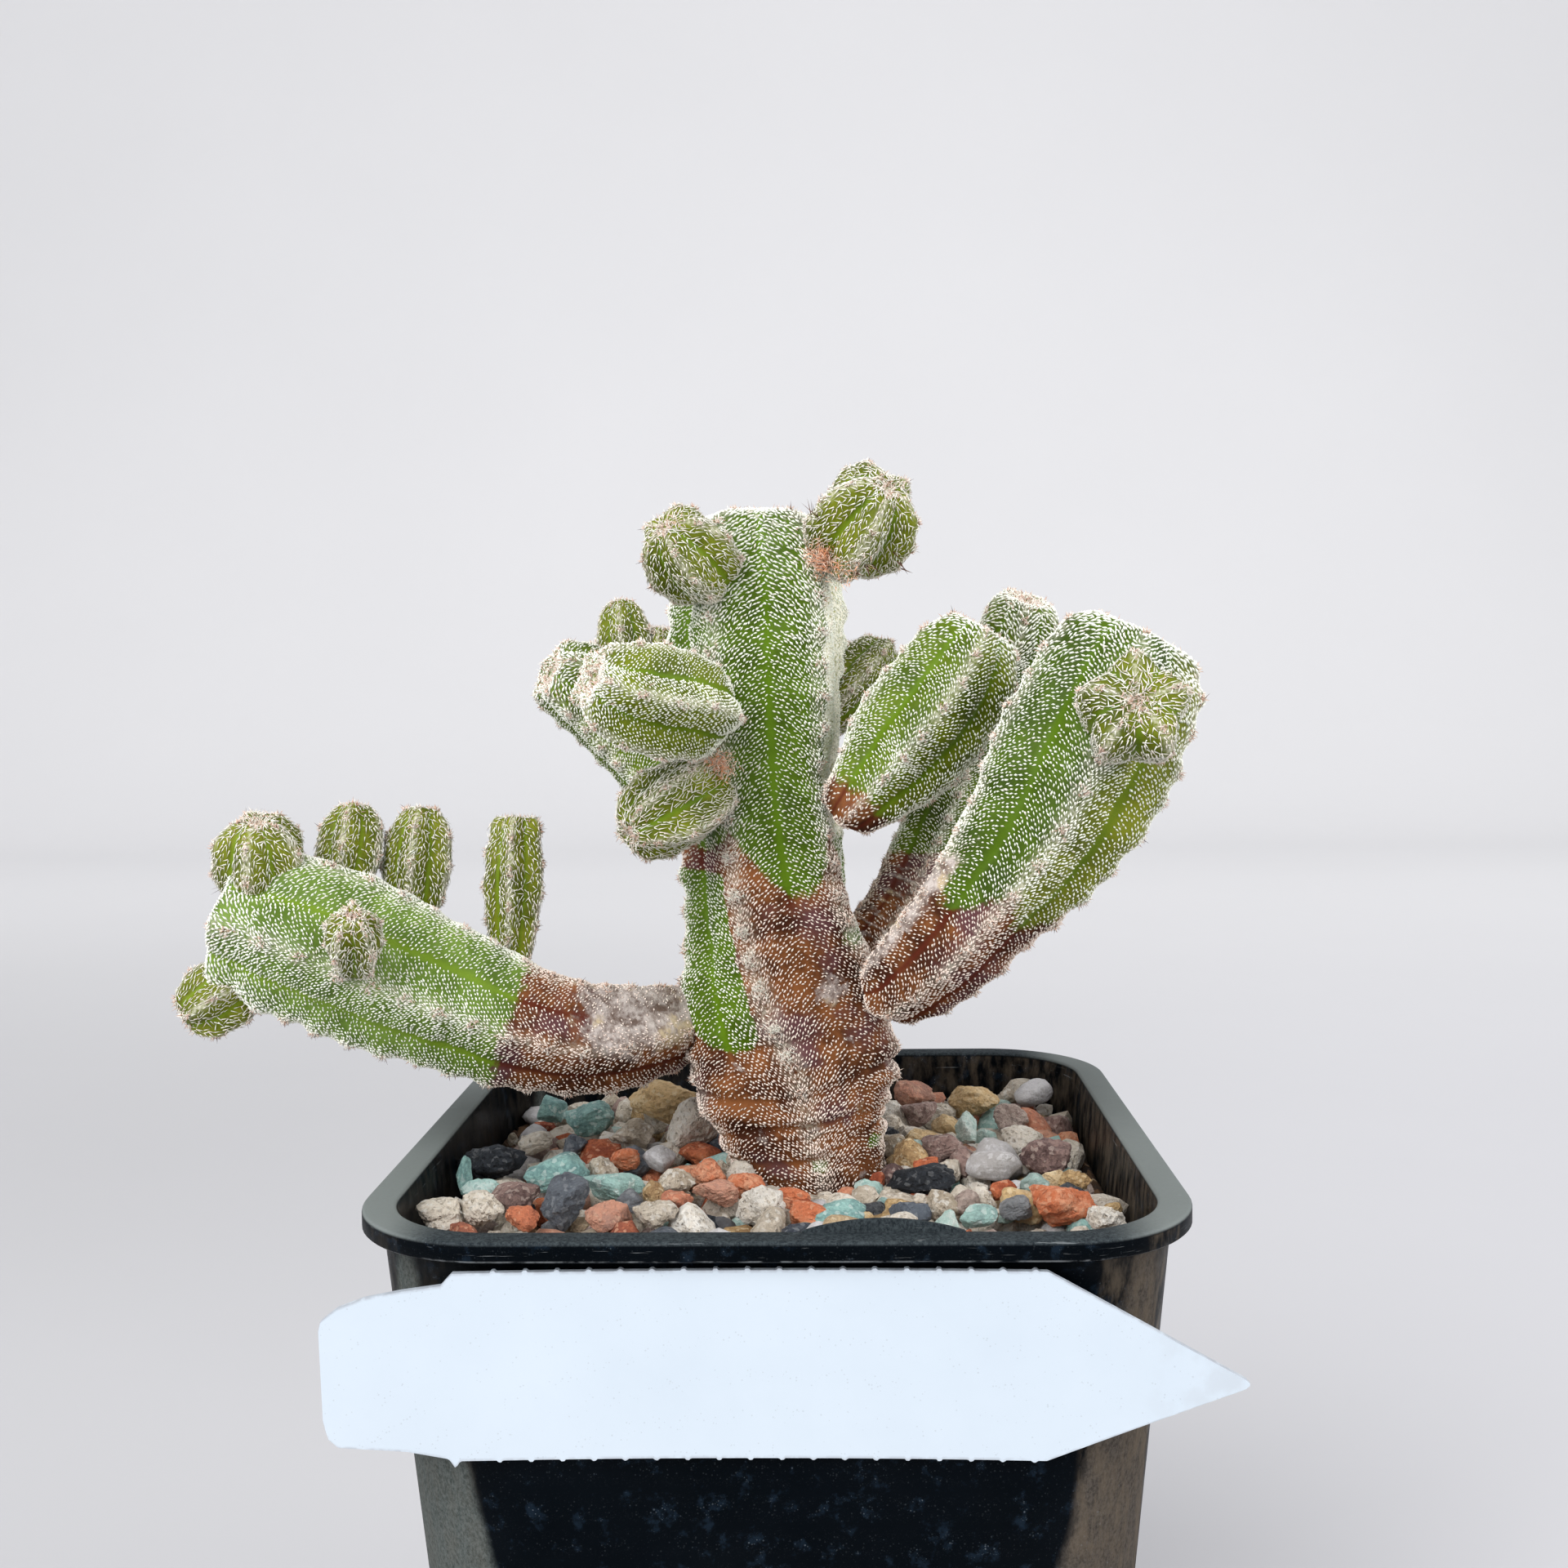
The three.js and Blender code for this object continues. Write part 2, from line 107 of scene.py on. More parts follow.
def rings_to_faces(ring_count, side_count):
    """Triangles over a stack of closed rings, numbered ring by ring, with a middle point at each
    end as the last two points of the mesh: two triangles a cell, and a fan over each end."""
    ring, side = np.meshgrid(np.arange(ring_count - 1), np.arange(side_count), indexing="ij")
    a = ring * side_count + side
    b = ring * side_count + (side + 1) % side_count
    c = b + side_count
    d = a + side_count
    skin = np.stack([np.stack([a, b, c], -1), np.stack([a, c, d], -1)], -2).reshape(-1, 3)
    j = np.arange(side_count)
    following = (j + 1) % side_count
    first = np.full(side_count, ring_count * side_count)
    top = (ring_count - 1) * side_count
    start = np.stack([first, following, j], -1)
    end = np.stack([first + 1, top + j, top + following], -1)
    return np.concatenate([skin, start, end])


def grid_faces(rows, columns):
    """Two triangles for each cell of a grid of points, numbered row by row."""
    i, j = np.meshgrid(np.arange(rows - 1), np.arange(columns - 1), indexing="ij")
    a = (i * columns + j).ravel()
    b, c, d = a + 1, a + columns + 1, a + columns
    return np.concatenate([np.stack([a, b, c], -1), np.stack([a, c, d], -1)])


def rounded_square(half_width, corner, height, steps=18, run=10):
    """A closed ring: four quarter circles of the corner radius, joined by straight sides that are
    cut into equal steps."""
    quarter = np.linspace(0, math.pi / 2, steps + 1)
    reach = half_width - corner
    arcs = []
    for turn in range(4):
        angle = quarter + turn * math.pi / 2
        middle = math.pi / 4 + turn * math.pi / 2
        centre = reach * math.sqrt(2) * np.array([math.cos(middle), math.sin(middle)])
        arcs.append(centre + corner * np.stack([np.cos(angle), np.sin(angle)], -1))
    share = np.linspace(0, 1, run + 1)[1:-1, None]
    ring = []
    for arc, following in zip(arcs, arcs[1:] + arcs[:1]):
        ring += [arc, arc[-1] + share * (following[0] - arc[-1])]
    ring = np.concatenate(ring)
    return np.column_stack([ring, np.full(len(ring), height)])


def square_shell(profile):
    """Rounded squares of the profile's half widths, corner radii and heights, skinned over."""
    rings = np.stack([rounded_square(*level) for level in profile])
    first = [0, 0, profile[0][2]]
    last = [0, 0, profile[-1][2]]
    points = np.concatenate([rings.reshape(-1, 3), [first, last]])
    return points, rings_to_faces(len(profile), rings.shape[1])


rim_half_width = 35 * MM
rim_corner = 12.4 * MM
rim_band = 1.65 * MM
mouth_half_width = 32.15 * MM
wall_half_width = 33.45 * MM
wall_corner = 10.9 * MM
wall_taper = 0.076
corner_spread = 0.03
wall_thickness = 1.3 * MM
floor_thickness = 1.6 * MM
drain_radius = 3.5 * MM
drain_offset = 15 * MM
flat_half_width = 29.6 * MM
flat_narrowing = 0.233
edge_radius = 0.32 * MM
foot_radius = 1.2 * MM
foot_set_in = 2.2 * MM


def outside_at(depth, drawn_in=0.0):
    """The pot's outer ring at a depth below the rim: it narrows by the taper as it goes down."""
    half_width = wall_half_width - wall_taper * depth - drawn_in
    return half_width, wall_corner + corner_spread * depth - drawn_in, rim_height - depth


def inside_at(depth, clearance=0.0):
    """The pot's inner ring at a depth below the rim, drawn in by a clearance."""
    half_width = mouth_half_width - wall_taper * depth - clearance
    corner = wall_corner - wall_thickness + corner_spread * depth - clearance
    return half_width, corner, rim_height - depth


def turned_edge(half_width, corner, height, radius, start, end, steps=4):
    """Rings round a small quarter turn in the profile, from a start to an end angle in degrees,
    where 0 faces outwards and 90 faces up. The width and height are those of its farthest points
    at 0 and at 90."""
    levels = []
    for angle in np.radians(np.linspace(start, end, steps + 1)):
        out = radius * (math.cos(angle) - 1)
        up = radius * (math.sin(angle) - 1)
        levels.append((half_width + out, corner + out, height + up))
    return levels


def pot_profile():
    """From the middle of the foot, up the outside, over the rim and down inside to the floor."""
    foot = outside_at(rim_height)
    band_foot = rim_height - rim_band
    levels = [(foot[0] - foot_set_in, foot[1] - foot_set_in, 0.0)]
    levels += turned_edge(foot[0], foot[1], 2 * foot_radius, foot_radius, -90, 0)
    levels += [outside_at(depth) for depth in np.linspace(rim_height - 2 * MM, rim_band, 24)]
    levels += [(rim_half_width - 0.15 * MM, rim_corner - 0.15 * MM, band_foot)]
    levels += [(rim_half_width, rim_corner, band_foot + 0.15 * MM)]
    levels += turned_edge(rim_half_width, rim_corner, rim_height, edge_radius, 0, 90)
    half_width, corner, height = inside_at(0, -2 * edge_radius)
    levels += turned_edge(half_width, corner, height, edge_radius, 90, 180, steps=3)
    levels += [inside_at(depth) for depth in np.linspace(1 * MM, rim_height - floor_thickness, 16)]
    return levels


def drain_cutters():
    """Four upright round plugs that cut the drain holes."""
    sides = 28
    ends = (-4 * MM, 6 * MM)
    turn = np.linspace(0, 2 * math.pi, sides, endpoint=False)
    circle = drain_radius * np.stack([np.cos(turn), np.sin(turn)], -1)
    points = []
    faces = []
    for x in (-drain_offset, drain_offset):
        for y in (-drain_offset, drain_offset):
            rings = [np.column_stack([circle + (x, y), np.full(sides, z)]) for z in ends]
            faces.append(rings_to_faces(2, sides) + len(faces) * 2 * (sides + 1))
            points += rings + [[[x, y, z] for z in ends]]
    return put_in_scene("drain_cutters", np.concatenate(points), np.concatenate(faces))


def cut_away(piece, cutter):
    """Cuts one mesh out of another and keeps the result as the piece's mesh."""
    cut = piece.modifiers.new("cut", "BOOLEAN")
    cut.operation = "DIFFERENCE"
    cut.solver = "EXACT"
    cut.object = cutter
    shown = piece.evaluated_get(bpy.context.evaluated_depsgraph_get())
    result = bpy.data.meshes.new_from_object(shown)
    piece.modifiers.clear()
    piece.data = result
    bpy.data.objects.remove(cutter)


def paint(red, green, blue):
    """A display colour from 0 to 255 as the linear colour that a shader takes."""
    shown = np.array([red, green, blue]) / 255
    linear = np.where(shown <= 0.04045, shown / 12.92, ((shown + 0.055) / 1.055) ** 2.4)
    return (*linear, 1.0)


def add(tree, kind, inputs=None, **settings):
    """A node with its settings, whose inputs take a value or another node's output."""
    made = tree.nodes.new(kind)
    for name, value in settings.items():
        setattr(made, name, value)
    for name, value in (inputs or {}).items():
        if isinstance(value, bpy.types.NodeSocket):
            tree.links.new(value, made.inputs[name])
        else:
            made.inputs[name].default_value = value
    return made


def noise(tree, at, scale, detail=3.0, roughness=0.55):
    """Soft cloud noise from 0 to 1, scale in features per metre."""
    inputs = {"Vector": at, "Scale": scale, "Detail": detail, "Roughness": roughness}
    return add(tree, "ShaderNodeTexNoise", inputs).outputs["Fac"]


def fade(tree, value, low, high):
    """0 below low and 1 above high, with a smooth step between, or the other way round."""
    inputs = {"Value": value, "From Min": min(low, high), "From Max": max(low, high)}
    inputs["To Min"] = 0.0 if low < high else 1.0
    inputs["To Max"] = 1.0 if low < high else 0.0
    return add(tree, "ShaderNodeMapRange", inputs, interpolation_type="SMOOTHSTEP").outputs[0]


def calc(tree, operation, first, second=0.5):
    """One step of arithmetic on two values."""
    return add(tree, "ShaderNodeMath", {0: first, 1: second}, operation=operation).outputs[0]


def times(tree, first, second):
    """Two values multiplied."""
    return calc(tree, "MULTIPLY", first, second)


def plus(tree, first, second):
    """Two values added."""
    return calc(tree, "ADD", first, second)


def minus(tree, first, second):
    """The second value taken from the first."""
    return calc(tree, "SUBTRACT", first, second)


def coat_over(tree, mask, under, over):
    """The colour over laid on the colour under where the mask is 1."""
    made = add(tree, "ShaderNodeMix", {0: mask, 6: under, 7: over}, data_type="RGBA")
    return made.outputs[2]


def start_material(name, roughness=0.5, specular=0.5):
    """A material with its shader, and the object coordinates that its patterns follow."""
    material = bpy.data.materials.new(name)
    material.use_nodes = True
    tree = material.node_tree
    tree.nodes.clear()
    shader = add(tree, "ShaderNodeBsdfPrincipled", {"Roughness": roughness})
    shader.inputs["Specular IOR Level"].default_value = specular
    output = add(tree, "ShaderNodeOutputMaterial", {"Surface": shader.outputs[0]})
    output.is_active_output = True
    at = add(tree, "ShaderNodeTexCoord").outputs["Object"]
    return material, tree, shader, at


def raise_surface(tree, shader, height, strength, distance):
    """Bumps the shader's surface by a height pattern."""
    inputs = {"Height": height, "Strength": strength, "Distance": distance}
    made = add(tree, "ShaderNodeBump", inputs)
    tree.links.new(made.outputs[0], shader.inputs["Normal"])


def group_of(name, inputs, outputs):
    """An empty node group with its named input and output values, and its two end nodes."""
    group = bpy.data.node_groups.new(name, "ShaderNodeTree")
    for label, kind in inputs.items():
        group.interface.new_socket(label, in_out="INPUT", socket_type=kind)
    for label, kind in outputs.items():
        group.interface.new_socket(label, in_out="OUTPUT", socket_type=kind)
    return group, add(group, "NodeGroupInput"), add(group, "NodeGroupOutput")


def build_dust_group():
    """Settled dust: fine grains scattered thickly where a slow cloud noise is high, and thinly
    elsewhere. Specks are single bright grains and film is the dull haze round them."""
    group, given, made = group_of(
        "settled_dust",
        {"Place": "NodeSocketVector", "Grain": "NodeSocketFloat", "Amount": "NodeSocketFloat"},
        {"Specks": "NodeSocketFloat", "Film": "NodeSocketFloat"},
    )
    place = given.outputs["Place"]
    grains = add(group, "ShaderNodeTexVoronoi", {"Vector": place, "Scale": given.outputs["Grain"]})
    apart = add(group, "ShaderNodeSeparateColor", {0: grains.outputs["Color"]})
    cloud = noise(group, place, 90.0, 4.0)
    size = times(group, apart.outputs[0], 0.34)
    near = calc(group, "LESS_THAN", grains.outputs["Distance"], size)
    kept = plus(group, apart.outputs[1], times(group, cloud, 0.45))
    limit = minus(group, 1.36, given.outputs["Amount"])
    shown = times(group, near, calc(group, "GREATER_THAN", kept, limit))
    film = times(group, fade(group, cloud, 0.38, 0.72), given.outputs["Amount"])
    group.links.new(shown, made.inputs["Specks"])
    group.links.new(film, made.inputs["Film"])
    return group


settled_dust = build_dust_group()


def dust(tree, at, grain, amount):
    """The settled dust group placed in a material."""
    inputs = {"Place": at, "Grain": grain, "Amount": amount}
    made = add(tree, "ShaderNodeGroup", inputs, node_tree=settled_dust)
    return made.outputs["Specks"], made.outputs["Film"]


def stretched(tree, at, x, y, z):
    """Object coordinates scaled along each axis, so a pattern runs in streaks."""
    made = add(tree, "ShaderNodeMapping", {"Vector": at, "Scale": (x, y, z)})
    return made.outputs[0]


def build_pot_plastic():
    """Black plastic: glossy flat faces, dull leathery corners painted grey for the light they catch
    from the sides, a dusty, scratched rim with a painted sheen at its sides and a painted highlight
    along the band's lower edge, and a crust of dry mix on the inside, painted paler towards the right
    wall where the light falls."""
    material, tree, shader, at = start_material("pot_plastic", specular=0.03)
    place = add(tree, "ShaderNodeSeparateXYZ", {0: at})
    across = calc(tree, "ABSOLUTE", place.outputs["X"])
    deep = calc(tree, "ABSOLUTE", place.outputs["Y"])
    lateral = calc(tree, "MINIMUM", across, deep)
    below = minus(tree, rim_height, place.outputs["Z"])
    flat_edge = minus(tree, flat_half_width, times(tree, below, flat_narrowing))
    wander = times(tree, noise(tree, at, 260.0), 1.2 * MM)
    past_edge = plus(tree, minus(tree, lateral, flat_edge), wander)
    corner = fade(tree, past_edge, 0.0, 1.2 * MM)
    rim = fade(tree, below, 1.9 * MM, 1.6 * MM)
    rim_top = fade(tree, below, 0.35 * MM, 0.1 * MM)
    corner = times(tree, corner, minus(tree, 1.0, rim))

    right = fade(tree, place.outputs["X"], -12 * MM, 12 * MM)
    grain = noise(tree, stretched(tree, at, 1.0, 1.0, 0.7), 3600.0, 5.0, 0.75)
    leather = noise(tree, stretched(tree, at, 1.0, 1.0, 0.35), 900.0, 4.0, 0.65)
    clouds = noise(tree, at, 120.0, 5.0, 0.6)
    face_colour = coat_over(tree, clouds, paint(0, 2, 4), paint(4, 9, 15))
    smears = fade(tree, noise(tree, at, 520.0, 5.0, 0.65), 0.54, 0.68)
    face_colour = coat_over(tree, times(tree, smears, 0.4), face_colour, paint(28, 42, 56))
    # Painted light: the corners are painted grey for the light they catch from the sides, cooler at
    # the left and warmer at the right; the grain in them is real.
    corner_deep = coat_over(tree, right, paint(52, 57, 55), paint(48, 44, 40))
    corner_light = coat_over(tree, right, paint(86, 91, 89), paint(80, 74, 68))
    corner_painted_light_colour = coat_over(tree, fade(tree, grain, 0.3, 0.66), corner_deep, corner_light)
    colour = coat_over(tree, corner, face_colour, corner_painted_light_colour)
    rim_top_dust_and_sheen = coat_over(tree, fade(tree, grain, 0.32, 0.68), paint(28, 33, 37), paint(62, 69, 72))
    # Painted sheen: the rim top is painted paler near the pot's left and right sides, over its real
    # dust.
    side_rim_painted_sheen = times(tree, fade(tree, across, 26 * MM, 32 * MM), 0.8)
    rim_top_dust_and_sheen = coat_over(tree, side_rim_painted_sheen, rim_top_dust_and_sheen, paint(122, 128, 126))
    colour = coat_over(tree, rim_top, colour, rim_top_dust_and_sheen)

    reach = calc(tree, "MAXIMUM", across, deep)
    upright = plus(tree, reach, times(tree, below, wall_taper))
    inner_side = fade(tree, upright, 32.9 * MM, 32.6 * MM)
    inside = times(tree, inner_side, fade(tree, below, 0.2 * MM, 0.5 * MM))
    # A real crust of mix on the inner walls, painted paler towards the right wall as painted light
    # where the light falls.
    sunlit = plus(tree, 0.15, times(tree, fade(tree, place.outputs["X"], 0.0, 30 * MM), 0.5))
    dried_mix_and_painted_light = times(tree, fade(tree, leather, 0.35, 0.7), times(tree, inside, sunlit))
    colour = coat_over(tree, dried_mix_and_painted_light, colour, paint(92, 82, 70))

    specks, film = dust(tree, at, 4200.0, 0.5)
    fine_specks, haze = dust(tree, at, 8600.0, 0.62)
    dusty = calc(tree, "MAXIMUM", specks, times(tree, fine_specks, 0.6))
    colour = coat_over(tree, times(tree, film, 0.006), colour, paint(122, 130, 138))
    gathered = plus(tree, 0.03, times(tree, smears, 0.16))
    colour = coat_over(tree, times(tree, dusty, gathered), colour, paint(150, 160, 168))

    cuts = noise(tree, stretched(tree, at, 0.12, 0.12, 3.0), 1500.0, 3.0, 0.8)
    scratch = times(tree, fade(tree, cuts, 0.64, 0.7), rim)
    # Painted highlight: a broken pale line along the band's lower edge, where it catches the light.
    from_lip = calc(tree, "ABSOLUTE", minus(tree, below, 1.55 * MM))
    lip = fade(tree, from_lip, 0.14 * MM, 0.04 * MM)
    outermost = fade(tree, reach, 33.8 * MM, 34.3 * MM)
    edge_highlight = times(tree, lip, fade(tree, noise(tree, at, 700.0), 0.42, 0.62))
    edge_highlight = times(tree, edge_highlight, outermost)
    # Pale marks: real scratches on the rim, and the painted highlight on the band's edge.
    tinted = calc(tree, "MAXIMUM", times(tree, scratch, 0.4), times(tree, edge_highlight, 0.45))
    colour = coat_over(tree, tinted, colour, paint(140, 144, 146))
    tree.links.new(colour, shader.inputs["Base Color"])

    dull = times(tree, calc(tree, "MAXIMUM", corner, rim_top), 0.3)
    smudge = times(tree, fade(tree, clouds, 0.35, 0.7), 0.16)
    rough = plus(tree, plus(tree, 0.3, dull), smudge)
    tree.links.new(plus(tree, rough, times(tree, dusty, 0.3)), shader.inputs["Roughness"])
    relief = times(tree, leather, plus(tree, times(tree, corner, 0.9), 0.1))
    relief = plus(tree, relief, times(tree, haze, 0.05))
    raise_surface(tree, shader, relief, 0.5, 0.00012)
    return material


pot = put_in_scene("pot_moulding", *square_shell(pot_profile()))
cut_away(pot, drain_cutters())
fit_to_pot(pot, build_pot_plastic(), "pot")


def build_lip(left=2.4, right=15.4, height=1.05, thickness=0.35, steps=40):
    """A thin fold of plastic along the inner edge of the front rim: upright, and as high at each
    place as height x sin(pi s)^0.8, where s is the share of the way along it."""
    share = np.linspace(0, 1, steps)
    x = left + (right - left) * share
    top = 0.02 + height * np.sin(math.pi * share) ** 0.8
    y = np.full(steps, -mouth_half_width / MM - 0.4)
    rings = [
        np.stack([x, y, top * 0 - 0.5], -1), np.stack([x, y + thickness, top * 0 - 0.5], -1),
        np.stack([x, y + thickness, top], -1), np.stack([x, y, top], -1),
    ]
    rings = np.stack(rings, 1) * MM + [0, 0, rim_height]
    ends = np.stack([rings[0].mean(0), rings[-1].mean(0)])
    return np.concatenate([rings.reshape(-1, 3), ends]), rings_to_faces(steps, 4)


lip = put_in_scene("pot_lip", *build_lip(), smooth=False)
fit_to_pot(lip, pot.data.materials[0], "pot")


# Growing mix. A coarse dark mineral and bark mix that fills the pot below the grit. It only shows
# through the drain holes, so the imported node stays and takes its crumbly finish.
def build_mix_finish():
    """Dark crumbs: a fine and a coarse cell pattern, each crumb with its own shade of brown."""
    material, tree, shader, at = start_material("growing_mix_crumbs", roughness=0.95, specular=0.2)
    crumbs = add(tree, "ShaderNodeTexVoronoi", {"Vector": at, "Scale": 620.0})
    shade = add(tree, "ShaderNodeSeparateColor", {0: crumbs.outputs["Color"]}).outputs[0]
    colour = coat_over(tree, shade, paint(38, 27, 20), paint(92, 68, 48))
    pale = fade(tree, noise(tree, at, 900.0), 0.62, 0.7)
    colour = coat_over(tree, pale, colour, paint(150, 132, 108))
    tree.links.new(colour, shader.inputs["Base Color"])
    raise_surface(tree, shader, crumbs.outputs["Distance"], 1.0, 0.0008)
    return material


growing_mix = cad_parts["growing_mix"]
mix_finish = build_mix_finish()
growing_mix.data.materials.clear()
growing_mix.data.materials.append(mix_finish)


# Top dressing. Loose mixed mineral grit, 1 to 8 mm: pale pumice, orange fired clay, green-blue
# tuff, white quartz, black lava, purple-brown porphyry and ochre stone, poured in and levelled
# by hand round the trunk. Each sort of stone is one piece, and a bed of fines lies beneath.
def ball_directions(splits):
    """Directions evenly over a sphere, and the triangles between them: an icosahedron whose
    triangles are each split in four, as many times as asked."""
    g = (1 + math.sqrt(5)) / 2
    corners = [(-1, g, 0), (1, g, 0), (-1, -g, 0), (1, -g, 0), (0, -1, g), (0, 1, g)]
    corners += [(0, -1, -g), (0, 1, -g), (g, 0, -1), (g, 0, 1), (-g, 0, -1), (-g, 0, 1)]
    ball = np.array(corners) / math.hypot(1, g)
    rows = "0 11 5 0 5 1 0 1 7 0 7 10 0 10 11 1 5 9 5 11 4 11 10 2 10 7 6 7 1 8 "
    rows += "3 9 4 3 4 2 3 2 6 3 6 8 3 8 9 4 9 5 2 4 11 6 2 10 8 6 7 9 8 1"
    faces = np.array(rows.split(), int).reshape(-1, 3)
    for _ in range(splits):
        edges = np.sort(faces[:, [0, 1, 1, 2, 2, 0]].reshape(-1, 2), axis=1)
        unique, which = np.unique(edges, axis=0, return_inverse=True)
        which = which.reshape(-1, 3) + len(ball)
        middle = ball[unique].mean(1)
        ball = np.concatenate([ball, middle / np.linalg.norm(middle, axis=1, keepdims=True)])
        a, b, c = faces.T
        ab, bc, ca = which.T
        faces = np.concatenate(
            [np.stack(row, -1) for row in ((a, ab, ca), (ab, b, bc), (ca, bc, c), (ab, bc, ca))]
        )
    return ball, faces


def repeated(faces, count, size):
    """The triangles of a count of copies of a small mesh, each copy's points after the last's."""
    return (faces[None] + (np.arange(count) * size)[:, None, None]).reshape(-1, 3)


def random_turns(count, draw):
    """One random rotation matrix for each stone, from random unit quaternions."""
    q = draw.normal(size=(count, 4))
    w, x, y, z = (q / np.linalg.norm(q, axis=1, keepdims=True)).T
    rows = [
        [1 - 2 * (y * y + z * z), 2 * (x * y - z * w), 2 * (x * z + y * w)],
        [2 * (x * y + z * w), 1 - 2 * (x * x + z * z), 2 * (y * z - x * w)],
        [2 * (x * z - y * w), 2 * (y * z + x * w), 1 - 2 * (x * x + y * y)],
    ]
    return np.stack([np.stack(row, -1) for row in rows], -2)


def stone_shapes(places, sizes, kind, splits, draw):
    """Stones as polar surfaces. Each stone is cut by random planes, and its radius in a direction
    is the smooth minimum of the distances to them: (sum of (n.dir / d)^p)^(-1/p), where a high
    power p leaves sharp edges and a low one rounds them, and no place lies beyond a farthest
    reach. Slow waves and fine lumps roughen it."""
    ball, faces = ball_directions(splits)
    count = len(places)
    planes = 14
    farthest = 1 / 0.7
    power = kind["edges"]
    normals = draw.normal(size=(count, planes, 3))
    normals /= np.linalg.norm(normals, axis=2, keepdims=True)
    apart = draw.uniform(0.72, 1.05, (count, planes))
    facing = np.clip(np.einsum("npc,dc->ndp", normals, ball) / apart[:, None, :], 0, None)
    radius = (np.sum(facing**power, 2) + farthest**-power) ** (-1 / power)
    for frequency, share in ((2.5, 0.5), (6.0, 0.35), (12.0, 0.25), (22.0, 0.12)):
        waves = draw.normal(size=(count, 3, 3)) * frequency
        phase = draw.uniform(0, 2 * math.pi, (count, 1, 3))
        ripple = np.sin(np.einsum("nwc,dc->ndw", waves, ball) + phase).prod(2)
        radius *= 1 + kind["rough"] * share * ripple
    stones = radius[..., None] * ball
    stones = np.einsum("nij,ndj->ndi", random_turns(count, draw), stones)
    span = stones.max(1) - stones.min(1)
    stones = stones / span[:, None, :] * sizes[:, None, :] + places[:, None, :]
    shade = np.repeat(draw.uniform(0, 1, count), len(ball))
    return stones.reshape(-1, 3), repeated(faces, count, len(ball)), shade


def join_meshes(parts):
    """Several meshes of points, faces and marks as one, with the faces renumbered."""
    starts = np.cumsum([0] + [len(part[0]) for part in parts])
    moved = [(points, faces + start, *marks) for (points, faces, *marks), start in zip(parts, starts)]
    return [np.concatenate(column) for column in zip(*moved)]


# Edges says how sharply a sort breaks, rough how lumpy it is, share how common it is in the loose
# fill, pits how porous and faded how bleached by the sun. Colours are dark, middle and light.
stone_sorts = {
    "pumice": {
        "edges": 9, "rough": 0.26, "share": 0.46, "pits": 0.75, "gloss": 0.85, "faded": 0.4,
        "colours": [(184, 168, 146), (242, 231, 214), (254, 252, 246)],
    },
    "clay": {
        "edges": 11, "rough": 0.22, "share": 0.15, "pits": 0.25, "gloss": 0.9, "faded": 0.4,
        "colours": [(152, 74, 48), (218, 124, 82), (244, 188, 152)],
    },
    "tuff": {
        "edges": 18, "rough": 0.16, "share": 0.09, "pits": 0.1, "gloss": 0.6, "faded": 0.3,
        "colours": [(118, 158, 156), (172, 216, 208), (236, 248, 242)],
    },
    "quartz": {
        "edges": 7, "rough": 0.08, "share": 0.08, "pits": 0.05, "gloss": 0.4, "faded": 0.2,
        "colours": [(190, 186, 184), (228, 226, 228), (246, 245, 246)],
    },
    "lava": {
        "edges": 8, "rough": 0.34, "share": 0.03, "pits": 1.0, "gloss": 0.75, "faded": 0.0,
        "colours": [(20, 24, 30), (52, 57, 64), (120, 122, 124)],
    },
    "slate": {
        "edges": 14, "rough": 0.15, "share": 0.05, "pits": 0.1, "gloss": 0.55, "faded": 0.15,
        "colours": [(52, 58, 70), (98, 106, 116), (156, 160, 164)],
    },
    "porphyry": {
        "edges": 9, "rough": 0.22, "share": 0.10, "pits": 0.35, "gloss": 0.7, "faded": 0.3,
        "colours": [(92, 70, 68), (158, 130, 122), (216, 196, 184)],
    },
    "ochre": {
        "edges": 9, "rough": 0.24, "share": 0.11, "pits": 0.4, "gloss": 0.85, "faded": 0.35,
        "colours": [(158, 124, 82), (224, 190, 138), (248, 230, 192)],
    },
}
